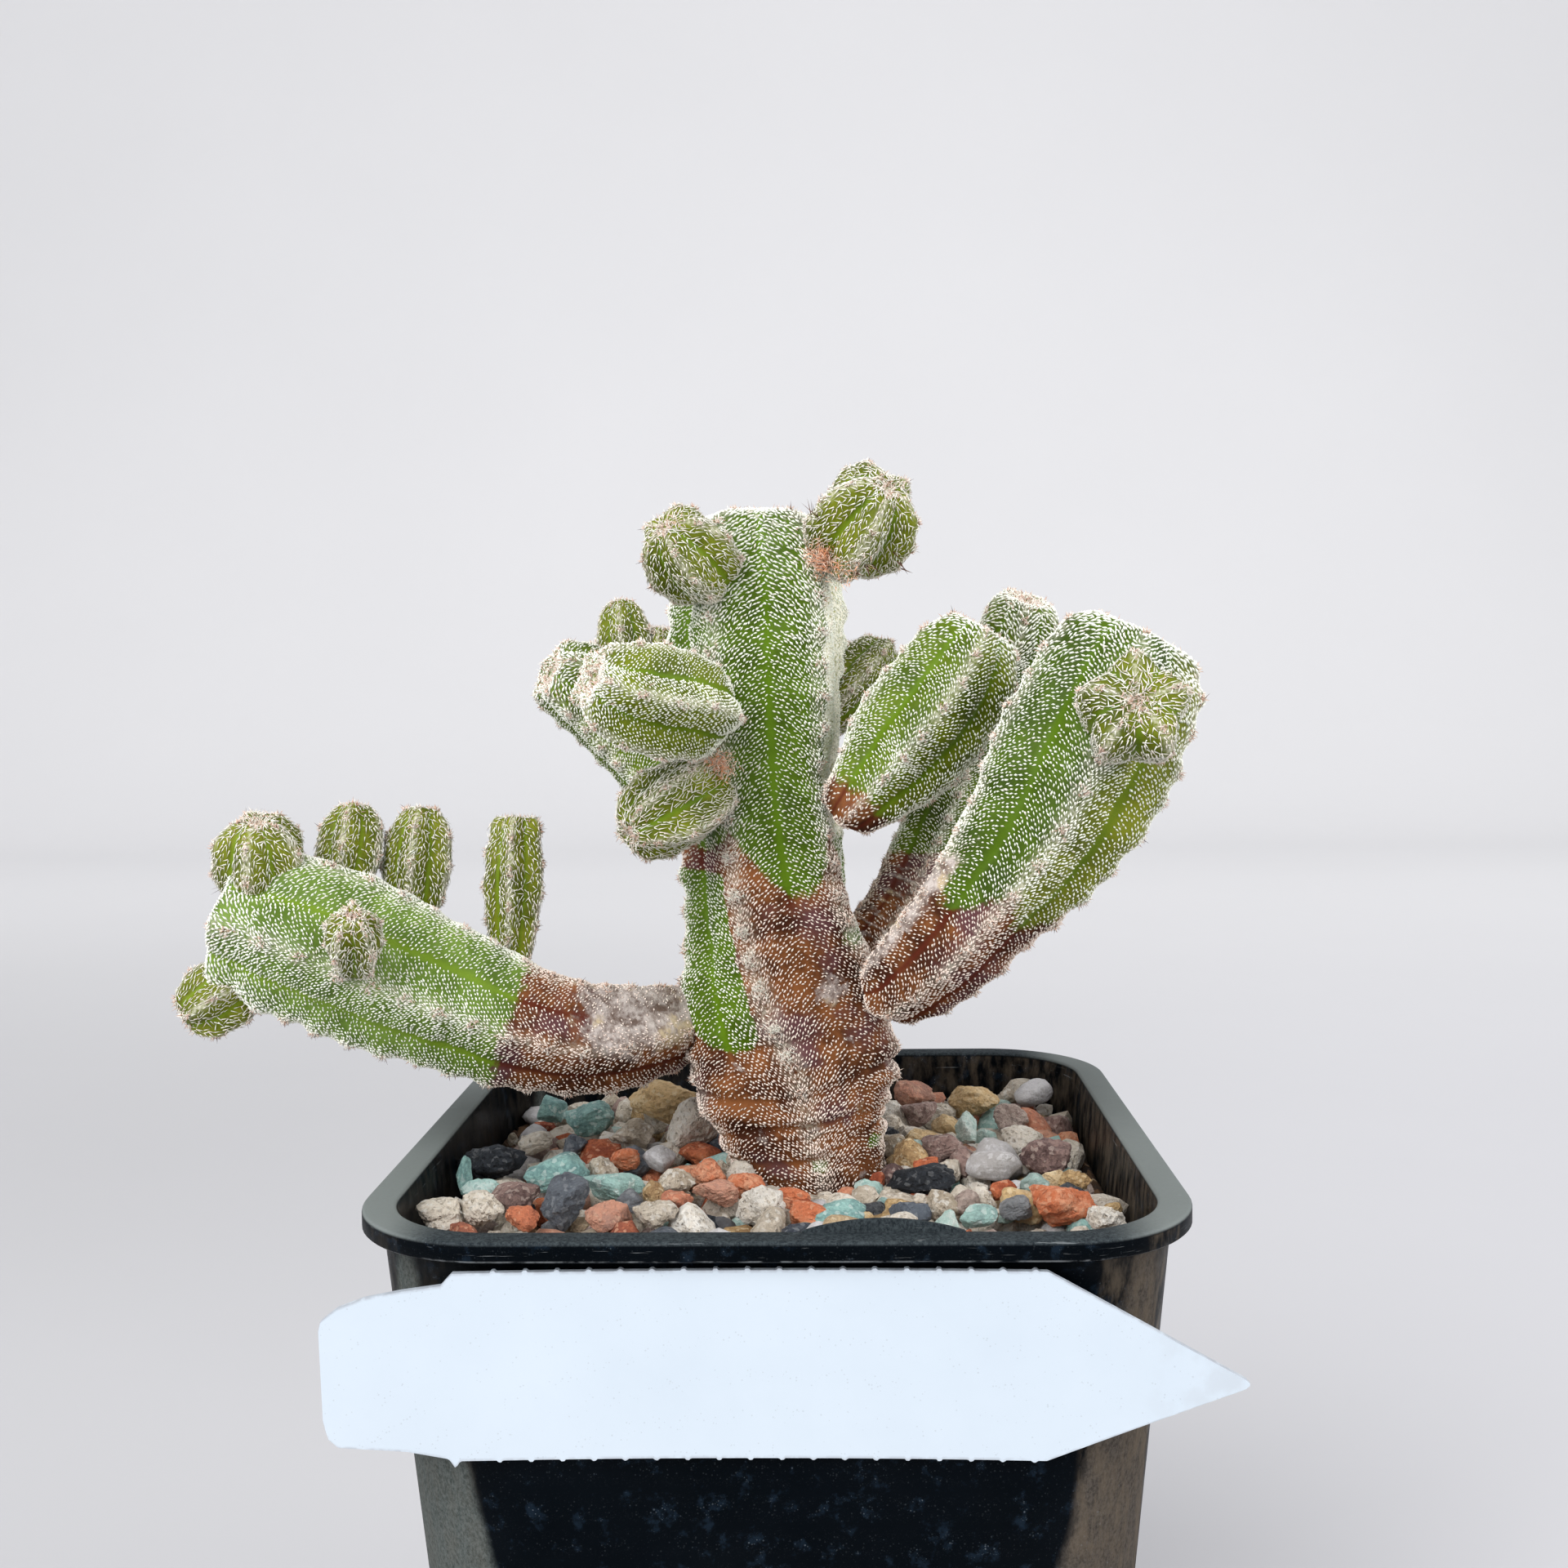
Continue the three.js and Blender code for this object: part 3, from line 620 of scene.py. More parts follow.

# The stones that stand out, placed one by one: sort, x and y, then width and height, in millimetres.
chosen_stones = [
    ("lava", -28.5, -2.5, 7.2, 4.0), ("tuff", -21.0, -5.5, 6.2, 3.4),
    ("tuff", -15.3, -10.0, 5.8, 3.0), ("tuff", -27.6, -11.0, 3.9, 1.8),
    ("tuff", -31.3, -6.8, 1.6, 3.6), ("porphyry", -24.0, -12.5, 4.9, 2.4),
    ("slate", -19.3, -15.5, 4.4, 4.8), ("pumice", -30.2, -18.0, 4.1, 3.4),
    ("pumice", -26.4, -17.0, 4.2, 3.2), ("clay", -21.9, -19.8, 3.0, 2.2),
    ("clay", -15.3, -18.7, 4.2, 2.8), ("slate", -13.4, -14.5, 2.6, 2.1),
    ("ochre", -11.6, -12.5, 2.0, 2.4), ("pumice", -10.7, -18.5, 4.1, 2.4),
    ("clay", -9.4, -14.0, 3.0, 2.0), ("clay", -5.5, -11.3, 4.4, 2.5),
    ("clay", -7.1, -5.6, 3.6, 2.4), ("clay", -3.0, -8.6, 3.8, 2.8), ("clay", -15.8, -1.5, 2.9, 2.4),
    ("quartz", -12.2, -0.8, 3.4, 2.6), ("pumice", -9.6, 6.6, 5.2, 5.4),
    ("tuff", -21.4, 12.4, 5.6, 3.6), ("tuff", -25.8, 18.0, 3.2, 3.0),
    ("pumice", -25.0, 5.3, 3.6, 2.4), ("slate", -21.1, 3.2, 2.6, 2.2),
    ("pumice", -10.0, -8.3, 3.6, 2.6), ("pumice", -15.5, 5.3, 4.6, 2.6),
    ("clay", 0.9, -11.2, 3.8, 2.0), ("clay", 2.7, -14.8, 3.8, 2.2),
    ("pumice", -1.4, -14.5, 4.6, 4.0), ("tuff", 5.4, -15.0, 5.6, 2.4),
    ("clay", 14.0, 23.8, 4.8, 4.0), ("porphyry", 14.1, 15.4, 4.0, 3.0),
    ("ochre", 20.4, 21.8, 5.8, 4.2), ("quartz", 27.4, 24.4, 4.4, 2.8),
    ("porphyry", 24.1, 14.2, 3.8, 2.6), ("porphyry", 25.5, -1.0, 5.2, 3.4),
    ("pumice", 24.1, 6.4, 4.4, 2.8), ("quartz", 20.5, -2.9, 5.6, 3.0),
    ("tuff", 18.9, 9.4, 2.4, 3.6), ("ochre", 12.6, 0.2, 3.6, 4.6), ("lava", 14.2, -5.6, 6.6, 3.0),
    ("clay", 20.5, -10.4, 2.6, 2.0), ("tuff", 23.5, -10.2, 2.8, 2.6),
    ("clay", 25.3, -15.6, 6.0, 3.8), ("ochre", 27.2, -9.2, 3.0, 2.6),
    ("slate", 20.8, -16.3, 3.0, 2.2), ("porphyry", 16.7, -13.8, 3.0, 2.4),
    ("tuff", 17.5, -19.0, 3.4, 2.0), ("slate", 11.5, -15.4, 3.8, 3.2),
    ("pumice", 14.1, -14.0, 4.0, 3.0), ("pumice", 28.2, -20.4, 3.4, 2.6),
    ("porphyry", 15.5, 2.7, 4.2, 3.6), ("ochre", -12.9, 12.6, 8.2, 4.6),
]

bed_depth = 6.6 * MM
bed_corner = 6.5 * MM
grit_depth = 3.0 * MM
trunk_place = np.array([3.2, 1.0]) * MM
trunk_reach = 7.4 * MM
hollow_place = np.array([8.0, -11.0]) * MM
hollow_depth = 1.7 * MM
hollow_reach = 9.0 * MM
mound_place = np.array([-13.0, 13.0]) * MM
mound_height = 2.4 * MM
mound_reach = 8.0 * MM
packing = 0.86
push_share = 0.28
sinking = 0.05 * MM
grit_draw = np.random.default_rng(41)


def grit_level(places):
    """Depth of the grit below the rim: even, with a shallow hollow in front of the trunk and a
    low mound behind the left arm, both bell-shaped."""
    from_hollow = np.linalg.norm(places[:, :2] - hollow_place, axis=1) / hollow_reach
    from_mound = np.linalg.norm(places[:, :2] - mound_place, axis=1) / mound_reach
    hollow = hollow_depth * np.exp(-(from_hollow**2))
    mound = mound_height * np.exp(-(from_mound**2))
    return grit_depth + hollow - mound


def settle(places, radii, held, rounds=60):
    """Stones as balls that push each other apart, sink a little each round and stay on the bed,
    inside the pot and clear of the trunk. Held stones keep their place."""
    places = places.copy()
    lowest = rim_height - bed_depth + 0.5 * radii
    for _ in range(rounds):
        apart = places[:, None, :] - places[None, :, :]
        distance = np.linalg.norm(apart, axis=2) + 1e-9
        overlap = np.clip(packing * (radii[:, None] + radii[None, :]) - distance, 0, None)
        np.fill_diagonal(overlap, 0)
        push = (apart / distance[..., None] * overlap[..., None]).sum(1) * push_share
        push[:, 2] -= sinking
        push[held] = 0
        places += push
        side = mouth_half_width - wall_taper * bed_depth - radii - 0.2 * MM
        places[:, :2] = np.clip(places[:, :2], -side[:, None], side[:, None])
        from_trunk = places[:, :2] - trunk_place
        away = np.linalg.norm(from_trunk, axis=1) + 1e-9
        short = np.clip(trunk_reach + 0.8 * radii - away, 0, None)
        places[:, :2] += np.where(held[:, None], 0, from_trunk / away[:, None] * short[:, None])
        highest = rim_height - grit_level(places) - 0.35 * radii
        places[:, 2] = np.where(held, places[:, 2], np.clip(places[:, 2], lowest, highest))
        room = side - bed_corner
        past = np.clip(np.abs(places[:, :2]) - room[:, None], 0, None)
        reach = np.linalg.norm(past, axis=1) + 1e-9
        back = np.clip(reach - bed_corner, 0, None) / reach
        places[:, :2] -= np.sign(places[:, :2]) * past * back[:, None]
    return places


def lay_stones():
    """Chosen stones and loose fill together, as sort, place and size of each. A loose stone is
    1.5 + 2.5 u^1.7 mm through for an even random u, so small ones are the most common, and is
    then stretched a little each way."""
    names = list(stone_sorts)
    chosen = np.array([row[1:] for row in chosen_stones]) * MM
    width, height = chosen[:, 2], chosen[:, 3]
    chosen = np.column_stack([chosen[:, :2], rim_height - grit_level(chosen)])
    chosen_sizes = np.column_stack([width, 0.5 * (width + height), height])
    loose_count = 760
    reach = mouth_half_width - 2.5 * MM
    loose = grit_draw.uniform(-reach, reach, (loose_count, 3))
    loose[:, 2] = rim_height - grit_draw.uniform(3.0, 6.0, loose_count) * MM
    girth = (1.5 + 2.5 * grit_draw.uniform(0, 1, loose_count) ** 1.7) * MM
    stretch = grit_draw.uniform(0.78, 1.3, (loose_count, 3)) * (1.05, 1.0, 0.9)
    sizes = np.concatenate([chosen_sizes, girth[:, None] * stretch])
    places = np.concatenate([chosen, loose])
    held = np.arange(len(places)) < len(chosen)
    places = settle(places, sizes.mean(1) / 2, held)
    share = np.array([stone_sorts[name]["share"] for name in names])
    loose_sorts = grit_draw.choice(len(names), loose_count, p=share / share.sum())
    sorts = np.concatenate([[names.index(row[0]) for row in chosen_stones], loose_sorts])
    return names, sorts, places, sizes


def build_pits_group():
    """Open pores of a stone: scattered round pits of two sizes. Pits is 1 inside a pore, and
    mottle is a slow variation of shade from one part of a stone to the next."""
    group, given, made = group_of(
        "stone_pores",
        {"Place": "NodeSocketVector", "Amount": "NodeSocketFloat"},
        {"Pits": "NodeSocketFloat", "Mottle": "NodeSocketFloat"},
    )
    place = given.outputs["Place"]
    bent = noise(group, place, 1400.0, 2.0)
    wide = add(group, "ShaderNodeTexVoronoi", {"Vector": place, "Scale": 1500.0})
    fine = add(group, "ShaderNodeTexVoronoi", {"Vector": place, "Scale": 3400.0})
    open_wide = fade(group, plus(group, wide.outputs["Distance"], bent), 0.78, 0.6)
    open_fine = fade(group, plus(group, fine.outputs["Distance"], bent), 0.74, 0.6)
    pits = calc(group, "MAXIMUM", open_wide, times(group, open_fine, 0.7))
    group.links.new(times(group, pits, given.outputs["Amount"]), made.inputs["Pits"])
    group.links.new(noise(group, place, 420.0, 6.0, 0.65), made.inputs["Mottle"])
    return group


stone_pores = build_pits_group()


def mark_on(tree, name):
    """The value that a mesh keeps at each point under a name."""
    return add(tree, "ShaderNodeAttribute", attribute_name=name).outputs["Fac"]


def build_stone_finish(name, sort):
    """Mineral surface: three shades mixed by a mottle and by each stone's own shade, with pale
    and dark crumbs, dark pores, a bleached cast on some stones and a fine crystalline bump."""
    material, tree, shader, at = start_material(f"grit_{name}", roughness=sort["gloss"], specular=0.35)
    dark, middle, light = [paint(*shade) for shade in sort["colours"]]
    inputs = {"Place": at, "Amount": sort["pits"]}
    pores = add(tree, "ShaderNodeGroup", inputs, node_tree=stone_pores)
    own = mark_on(tree, "shade")
    fine = noise(tree, at, 3000.0, 5.0, 0.75)
    tone = plus(tree, times(tree, own, 0.4), times(tree, fine, 0.6))
    tone = plus(tree, tone, times(tree, pores.outputs["Mottle"], 0.8))
    colour = coat_over(tree, fade(tree, tone, 0.65, 0.95), dark, middle)
    colour = coat_over(tree, fade(tree, tone, 0.92, 1.3), colour, light)
    grains = add(tree, "ShaderNodeTexVoronoi", {"Vector": at, "Scale": 2600.0})
    crumb = add(tree, "ShaderNodeSeparateXYZ", {0: grains.outputs["Color"]}).outputs["X"]
    pale_crumb = times(tree, fade(tree, crumb, 0.84, 0.88), 0.45)
    colour = coat_over(tree, pale_crumb, colour, light)
    dark_crumb = times(tree, fade(tree, crumb, 0.12, 0.08), 0.4)
    colour = coat_over(tree, dark_crumb, colour, dark)
    bleach = fade(tree, calc(tree, "FRACT", times(tree, own, 7.3)), 0.3, 1.0)
    colour = coat_over(tree, times(tree, bleach, sort["faded"]), colour, paint(214, 204, 190))
    colour = coat_over(tree, times(tree, pores.outputs["Pits"], 0.72), colour, dark)
    tree.links.new(colour, shader.inputs["Base Color"])
    relief = plus(tree, fine, times(tree, crumb, 0.25))
    relief = minus(tree, relief, times(tree, pores.outputs["Pits"], 0.9))
    raise_surface(tree, shader, relief, 1.0, 0.0005)
    return material


sort_names, sort_of, stone_places, stone_sizes = lay_stones()
for number, sort_name in enumerate(sort_names):
    sort = stone_sorts[sort_name]
    mine = sort_of == number
    shown_well = mine & (np.arange(len(mine)) < len(chosen_stones))
    buried = rim_height - stone_places[:, 2] > grit_level(stone_places) + 1.5 * MM
    batches = [(shown_well, 3), (mine & ~shown_well & ~buried, 2), (mine & ~shown_well & buried, 1)]
    points, faces, shade = join_meshes([
        stone_shapes(stone_places[chosen], stone_sizes[chosen], sort, splits, grit_draw)
        for chosen, splits in batches
        if chosen.any()
    ])
    polished = sort_name == "quartz"
    stones = put_in_scene(f"grit_{sort_name}", points, faces, smooth=polished, shade=shade)
    fit_to_pot(stones, build_stone_finish(sort_name, sort), "top_grit")


def bed_surface():
    """The bed of fines: a rounded square slab whose top is a heightfield of small waves, sin(x)
    times sin(y), each bent by a slower sine of the other."""
    levels = [inside_at(8.7 * MM, 0.3 * MM), inside_at(bed_depth, 0.3 * MM)]
    half_width, corner, height = levels[1]
    rings = [rounded_square(*levels[0]), rounded_square(*levels[1])]
    for share in np.linspace(1, 0.02, 60)[1:]:
        rings.append(rounded_square(half_width * share, corner * share, height))
    rings = np.stack(rings)
    x, y = rings[2:, :, 0] / MM, rings[2:, :, 1] / MM
    bumps = np.sin(2.9 * x + 0.7 * np.sin(1.3 * y)) * np.sin(3.1 * y + 0.9 * np.sin(1.7 * x))
    rings[2:, :, 2] += 0.45 * MM * bumps
    points = np.concatenate([rings.reshape(-1, 3), [[0, 0, levels[0][2]], [0, 0, height]]])
    return points, rings_to_faces(len(rings), rings.shape[1])


bed = put_in_scene("grit_bed", *bed_surface())
fit_to_pot(bed, mix_finish, "top_grit")


# Main stem. The old swollen trunk and the column that grew from it, five-ribbed, with bare green
# grooves, broad crests and rows of white woolly flecks that rise from crest to groove. The trunk
# has turned brown and creased with age, and five small offsets sit on the column.
def through_knots(knots, share, steps):
    """A smooth curve through the knots: between two knots a cubic that meets both, whose slope at
    a knot is the blend of the slopes either side, weighed by the steps between the knots."""
    before = 2 * knots[0] - knots[1]
    after = 2 * knots[-1] - knots[-2]
    padded = np.concatenate([[before], knots, [after]])
    gap = np.concatenate([[steps[0]], steps, [steps[-1]]])[:, None]
    rate = np.diff(padded, axis=0) / gap
    span = (padded[2:] - padded[:-2]) / (gap[:-1] + gap[1:])
    slope = rate[:-1] - span + rate[1:]
    at = share * (len(knots) - 1)
    i = np.clip(np.floor(at).astype(int), 0, len(knots) - 2)
    w = (at - i)[..., None]
    size = steps[i][..., None]
    a, b = knots[i], knots[i + 1]
    u, v = slope[i] * size, slope[i + 1] * size
    return a + w * (u + w * (3 * (b - a) - 2 * u - v + w * (2 * (a - b) + u + v)))


ribs = 5
half_rib = math.pi / ribs
groove_cut = 0.28
face_bulge = 0.05
tooth_height = 0.026
areole_pitch = 3.2 * MM


def unit(vectors):
    """Vectors scaled to length one."""
    return vectors / np.maximum(np.linalg.norm(vectors, axis=-1, keepdims=True), 1e-12)


class RibbedStem:
    """A ribbed stem. A smooth line runs through the knots (x, y, height over the rim, crest
    radius), and across it lies a star of five ribs: the reach in a direction w from a crest is
    g sin(h) / (sin(w) + g sin(h - w)) of the crest radius, where h is half a rib and g the
    groove's share of it, plus a slight bulge in the middle of each face."""

    def __init__(self, knots, seed, turn=(0, 0), depth=(1, 1), facing=(0, -1, 0), creases=()):
        knots = np.array(knots, float) * MM
        knots[:, 2] += rim_height
        self.knots = knots
        self.steps = np.linalg.norm(np.diff(knots[:, :3], axis=0), axis=1) ** 0.5
        self.turn = np.radians(turn)
        self.closed_below = 0.0
        self.depth = depth
        self.facing = np.array(facing, float)
        self.creases = creases
        self.hairy = False
        self.fineness = 1.0
        self.shares = np.linspace(0, 1, 700)
        run = self.at_share(self.shares)
        lengths = np.linalg.norm(np.diff(run, axis=0), axis=1)
        self.runs = np.concatenate([[0], np.cumsum(lengths)])
        self.length = self.runs[-1]
        self.last_heading = (len(knots) - 3) / (len(knots) - 1)
        draw = np.random.default_rng(seed)
        self.phase = draw.uniform(0, 2 * math.pi, 8)
        self.tooth_phase = draw.uniform(0, 2 * math.pi, ribs)

    def at_share(self, share):
        """Knot values (place and crest radius) at a share of the way through the knots."""
        return through_knots(self.knots, share, self.steps)

    def share(self, run):
        """The share of the way at a length along the profile from the root."""
        return np.interp(run, self.runs, self.shares)

    def radius(self, run):
        """The crest radius at a length along the profile."""
        return self.at_share(self.share(run))[..., 3]

    def reach(self, run, share, angle):
        """Reach of the section as a share of the crest radius. Lumps are slow sines of the length
        and the angle. Teeth are a cosine along each crest, one to an areole, and die away from
        the crest by exp(-d^2)."""
        p = self.phase
        r = run / MM
        wander = 0.05 * np.sin(0.27 * r + angle + p[0])
        rib = np.round((angle + wander) / (2 * half_rib)).astype(int) % ribs
        off = np.abs((angle + wander + half_rib) % (2 * half_rib) - half_rib)
        off = np.clip(np.hypot(off, 0.085) - 0.02, 0, half_rib)
        groove = 1 - groove_cut * (self.depth[0] + (self.depth[1] - self.depth[0]) * share)
        chord = groove * math.sin(half_rib) / (np.sin(off) + groove * np.sin(half_rib - off))
        bulge = face_bulge * np.sin(math.pi * off / half_rib)
        lumps = 0.012 * np.sin(0.55 * r + 2 * angle + p[1])
        lumps = lumps + 0.009 * np.sin(1.15 * r - 3 * angle + p[2])
        lumps = lumps + 0.006 * np.sin(2.3 * r + 5 * angle + p[3])
        tooth = np.cos(2 * math.pi * run / areole_pitch + self.tooth_phase[rib])
        teeth = tooth_height * tooth * np.exp(-((off / 0.2) ** 2))
        return chord + bulge + lumps + teeth

    def skin(self, run, angle):
        """The point on the skin at a length along the profile and an angle round from a crest:
        the line's point plus the reach times (front cos(angle) + side sin(angle)). A crease
        draws the reach in by exp(-d^2) of the height's distance from it."""
        share = self.share(run)
        centre = self.at_share(share)
        ahead = np.minimum(share, self.last_heading)
        heading = self.at_share(ahead + 0.01) - self.at_share(np.maximum(ahead - 0.01, 0))
        along = unit(heading[..., :3])
        facing = along @ self.facing
        front = unit(self.facing - along * facing[..., None])
        side = np.cross(along, front)
        turned = angle + np.interp(share, np.linspace(0, 1, len(self.turn)), self.turn)
        reach = centre[..., 3] * self.reach(run, share, angle)
        for height, deep, wide in self.creases:
            wave = 0.6 * np.sin(angle * 2 + self.phase[4] + height)
            level = (centre[..., 2] - rim_height) / MM - height - wave
            broken = 0.65 + 0.35 * np.sin(3 * angle + 2 * height)
            reach = reach * (1 - deep * broken * np.exp(-((level / wide) ** 2)))
        across = front * np.cos(turned)[..., None] + side * np.sin(turned)[..., None]
        return centre[..., :3] + reach[..., None] * across

    def frame_at(self, run, angle):
        """Point, direction along the stem and outward normal, from small steps on the skin."""
        here = self.skin(run, angle)
        small = 0.05 * MM
        up = self.skin(np.minimum(run + small, self.length), angle) - self.skin(run - small, angle)
        around = self.skin(run, angle + 0.01) - self.skin(run, angle - 0.01)
        return here, unit(up), unit(np.cross(around, up))


def smooth_step(value, low, high):
    """0 up to low, 1 from high, smooth between."""
    share = np.clip((value - low) / (high - low), 0, 1)
    return share * share * (3 - 2 * share)


def closed_groove(stem, run, groove):
    """1 where the groove of an old stem has grown over: below a length from the root, which is
    0.62 of that on the last face."""
    limit = stem.closed_below * np.where(groove % ribs == ribs - 1, 0.62, 1)
    return smooth_step(limit - run, -1.5 * MM, 1.5 * MM)


def crest_share(angle):
    """1 on a crest and 0 in a groove, falling evenly between."""
    return 1 - np.abs((angle + half_rib) % (2 * half_rib) - half_rib) / half_rib


def stem_skin(stem, ageing, fresh, sides=100, step=0.55 * MM):
    """The stem's skin as a grid of rings, with its crest, brown, felt and fresh marks. Fresh skin
    is yellower, and so are the places that the ageing rule turns yellow."""
    rings = max(12, int(stem.length / step))
    run = np.linspace(0, stem.length, rings)[:, None]
    angle = np.linspace(0, 2 * math.pi, sides, endpoint=False)[None, :]
    run, angle = np.broadcast_arrays(run, angle)
    points = stem.skin(run, angle)
    ends = stem.at_share(np.array([0.0, 1.0]))[:, :3]
    brown, felt, yellow = ageing(points, run, angle)
    felt = np.maximum(felt, 0.42 * smooth_step(run / stem.length, 0.8, 1.0))
    grown_over = closed_groove(stem, run, np.floor(angle / (2 * half_rib)))
    crest = np.maximum(crest_share(angle), 0.4 * grown_over)
    marks = [crest, brown, felt, np.maximum(fresh, yellow)]
    marks = [np.append(mark.ravel(), [mark[0].mean(), mark[-1].mean()]) for mark in marks]
    return np.concatenate([points.reshape(-1, 3), ends]), rings_to_faces(rings, sides), *marks


# Rows of flecks leave the groove almost level and bend down towards the root as they near a crest.
row_slope = 0.42
row_bend = 0.62
half_face = 0.6


def fleck_rows(stem, draw, row_gap, fleck_gap, bare=0.34 * MM):
    """Places of the flecks. On each half face the rows start at the groove, a row gap apart, and
    fall by width x (slope q + bend q^3) at the share q of the way to the crest, where the width
    of the half face is its share of the crest radius. Flecks follow a row at equal steps, every
    second row is staggered, and each fleck is shifted a little. The bare line along the groove
    waves, and closes towards the tip."""
    q_table = np.linspace(0, 1, 60)
    rise = np.sqrt(1 + (row_slope + 3 * row_bend * q_table**2) ** 2)
    length_table = np.concatenate([[0], np.cumsum((rise[1:] + rise[:-1]) / 2 * np.diff(q_table))])
    widest = half_face * stem.knots[:, 3].max()
    starts = np.arange(0, stem.length + widest * (row_slope + row_bend), row_gap)
    steps = np.arange(0.08 * MM, widest * length_table[-1], fleck_gap)
    face, start, step = np.meshgrid(np.arange(2 * ribs), starts, steps, indexing="ij")
    row = np.round(start / row_gap).astype(int)
    step = step + (row % 2) * fleck_gap / 2 + draw.normal(0, 0.11 * fleck_gap, step.shape)
    width = half_face * stem.radius(np.minimum(start, stem.length)) + 1e-6
    way = step / width
    q = np.interp(way, length_table, q_table)
    run = start - width * (row_slope * q + row_bend * q**3)
    run = run + draw.normal(0, 0.15 * row_gap, run.shape)
    side = np.where(face % 2 == 0, 1, -1)
    groove = face // 2 + (side - 1) // 2
    closing = 1 - smooth_step(start / stem.length, 0.66, 0.84)
    closing = closing * (1 - closed_groove(stem, start, groove))
    hem = bare * closing * (1 + 0.35 * np.sin(start / (1.9 * MM) + 2 * face))
    kept = (way < length_table[-1]) & (run > 0.3 * MM) & (run < stem.length - 0.25 * MM) & (step > hem)
    kept &= draw.uniform(size=run.shape) > 0.05
    angle = (face // 2) * 2 * half_rib + side * half_rib * (1 - q)
    lead = 0.02
    next_run = run - width * (row_slope * lead + 3 * row_bend * q**2 * lead)
    next_angle = angle - side * half_rib * lead
    return [values[kept] for values in (run, angle, next_run, next_angle, q)]


def grains(points, along, outward, length, width, height, draw):
    """Closed little tufts, longer along one direction: a four-cornered base sunk in the skin and a
    high point over it. Six triangles each."""
    count = len(points)
    across = np.cross(outward, along)
    turn = np.arange(4) * math.pi / 2 + draw.uniform(-0.5, 0.5, (count, 1))
    size = draw.uniform(0.85, 1.2, (count, 4))
    on = (size * np.cos(turn) * length[:, None] / 2)[..., None] * along[:, None, :]
    off = (size * np.sin(turn) * width[:, None] / 2)[..., None] * across[:, None, :]
    base = points[:, None, :] + on + off - 0.02 * MM * outward[:, None, :]
    shift = draw.uniform(-0.3, 0.1, (count, 1)) * length[:, None] * along
    top = points + height[:, None] * outward + shift
    made = np.concatenate([base, top[:, None]], 1)
    pattern = np.array([[0, 1, 4], [1, 2, 4], [2, 3, 4], [3, 0, 4], [0, 2, 1], [0, 3, 2]])
    return made.reshape(-1, 3), repeated(pattern, count, 5)


def strands(roots, directions, length, thickness):
    """Closed thin cones of wool or spine: a three-sided root and a point. Four triangles each."""
    count = len(roots)
    helper = np.where(np.abs(directions[:, 2:]) > 0.9, [1.0, 0.0, 0.0], [0.0, 0.0, 1.0])
    one = unit(np.cross(directions, helper))
    two = np.cross(directions, one)
    turn = np.arange(3) * 2 * math.pi / 3
    ring = np.cos(turn)[None, :, None] * one[:, None] + np.sin(turn)[None, :, None] * two[:, None]
    ring = roots[:, None] + ring * thickness[:, None, None]
    tip = roots + directions * length[:, None]
    points = np.concatenate([ring, tip[:, None]], 1)
    pattern = np.array([[0, 1, 3], [1, 2, 3], [2, 0, 3], [2, 1, 0]])
    return points.reshape(-1, 3), repeated(pattern, count, 4)


def stem_flecks(stem, ageing, draw):
    """Flecks over one stem: short grains beside the groove, longer ones towards the crest and the
    tip, and lying hairs on young offsets. Fewer are left on corky skin. Tone is 0 for clean white
    and 1 for pinkish brown."""
    row_gap = 0.45 * stem.fineness * MM
    fleck_gap = (0.5 if stem.hairy else 0.47) * stem.fineness * MM
    run, angle, next_run, next_angle, q = fleck_rows(stem, draw, row_gap, fleck_gap)
    points = stem.skin(run, angle)
    brown, felt = ageing(points, run, angle)[:2]
    kept = draw.uniform(size=len(run)) > 0.6 * felt * (brown > 0.5)
    kept_values = [each[kept] for each in (run, angle, next_run, next_angle, q, brown, felt)]
    run, angle, next_run, next_angle, q, brown, felt = kept_values
    points, up, outward = stem.frame_at(run, angle)
    along = unit(stem.skin(next_run, next_angle) - points)
    if stem.hairy:
        along = unit(0.45 * along - up)
    along = unit(along + (0.5 if stem.hairy else 0.3) * draw.normal(size=along.shape))
    along = unit(along - outward * np.sum(along * outward, 1, keepdims=True))
    count = len(points)
    tone = 0.12 * q + 0.12 * draw.normal(size=count) + 0.6 * brown + 0.1
    if stem.hairy:
        tone = tone + 0.22
        length = draw.uniform(0.5, 0.95, count) * MM
        thick = draw.uniform(0.06, 0.09, count) * MM
        lean = unit(along + outward * draw.uniform(0.05, 0.42, (count, 1)))
        made = strands(points - 0.5 * length[:, None] * along, lean, length, thick)
        return made, np.repeat(np.clip(tone, 0, 1), 4)
    woolly = smooth_step(run / stem.length, 0.7, 0.92)
    length = draw.uniform(0.32, 0.5, count) + 0.12 * q + 0.3 * woolly
    width = draw.uniform(0.15, 0.25, count) - 0.02 * q + 0.06 * woolly
    height = draw.uniform(0.09, 0.15, count) + 0.05 * woolly
    shrink = (1 - 0.3 * felt * draw.uniform(size=count)) * stem.fineness * MM
    made = grains(points, along, outward, length * shrink, width * shrink, height * MM, draw)
    return made, np.repeat(np.clip(tone, 0, 1), 5)


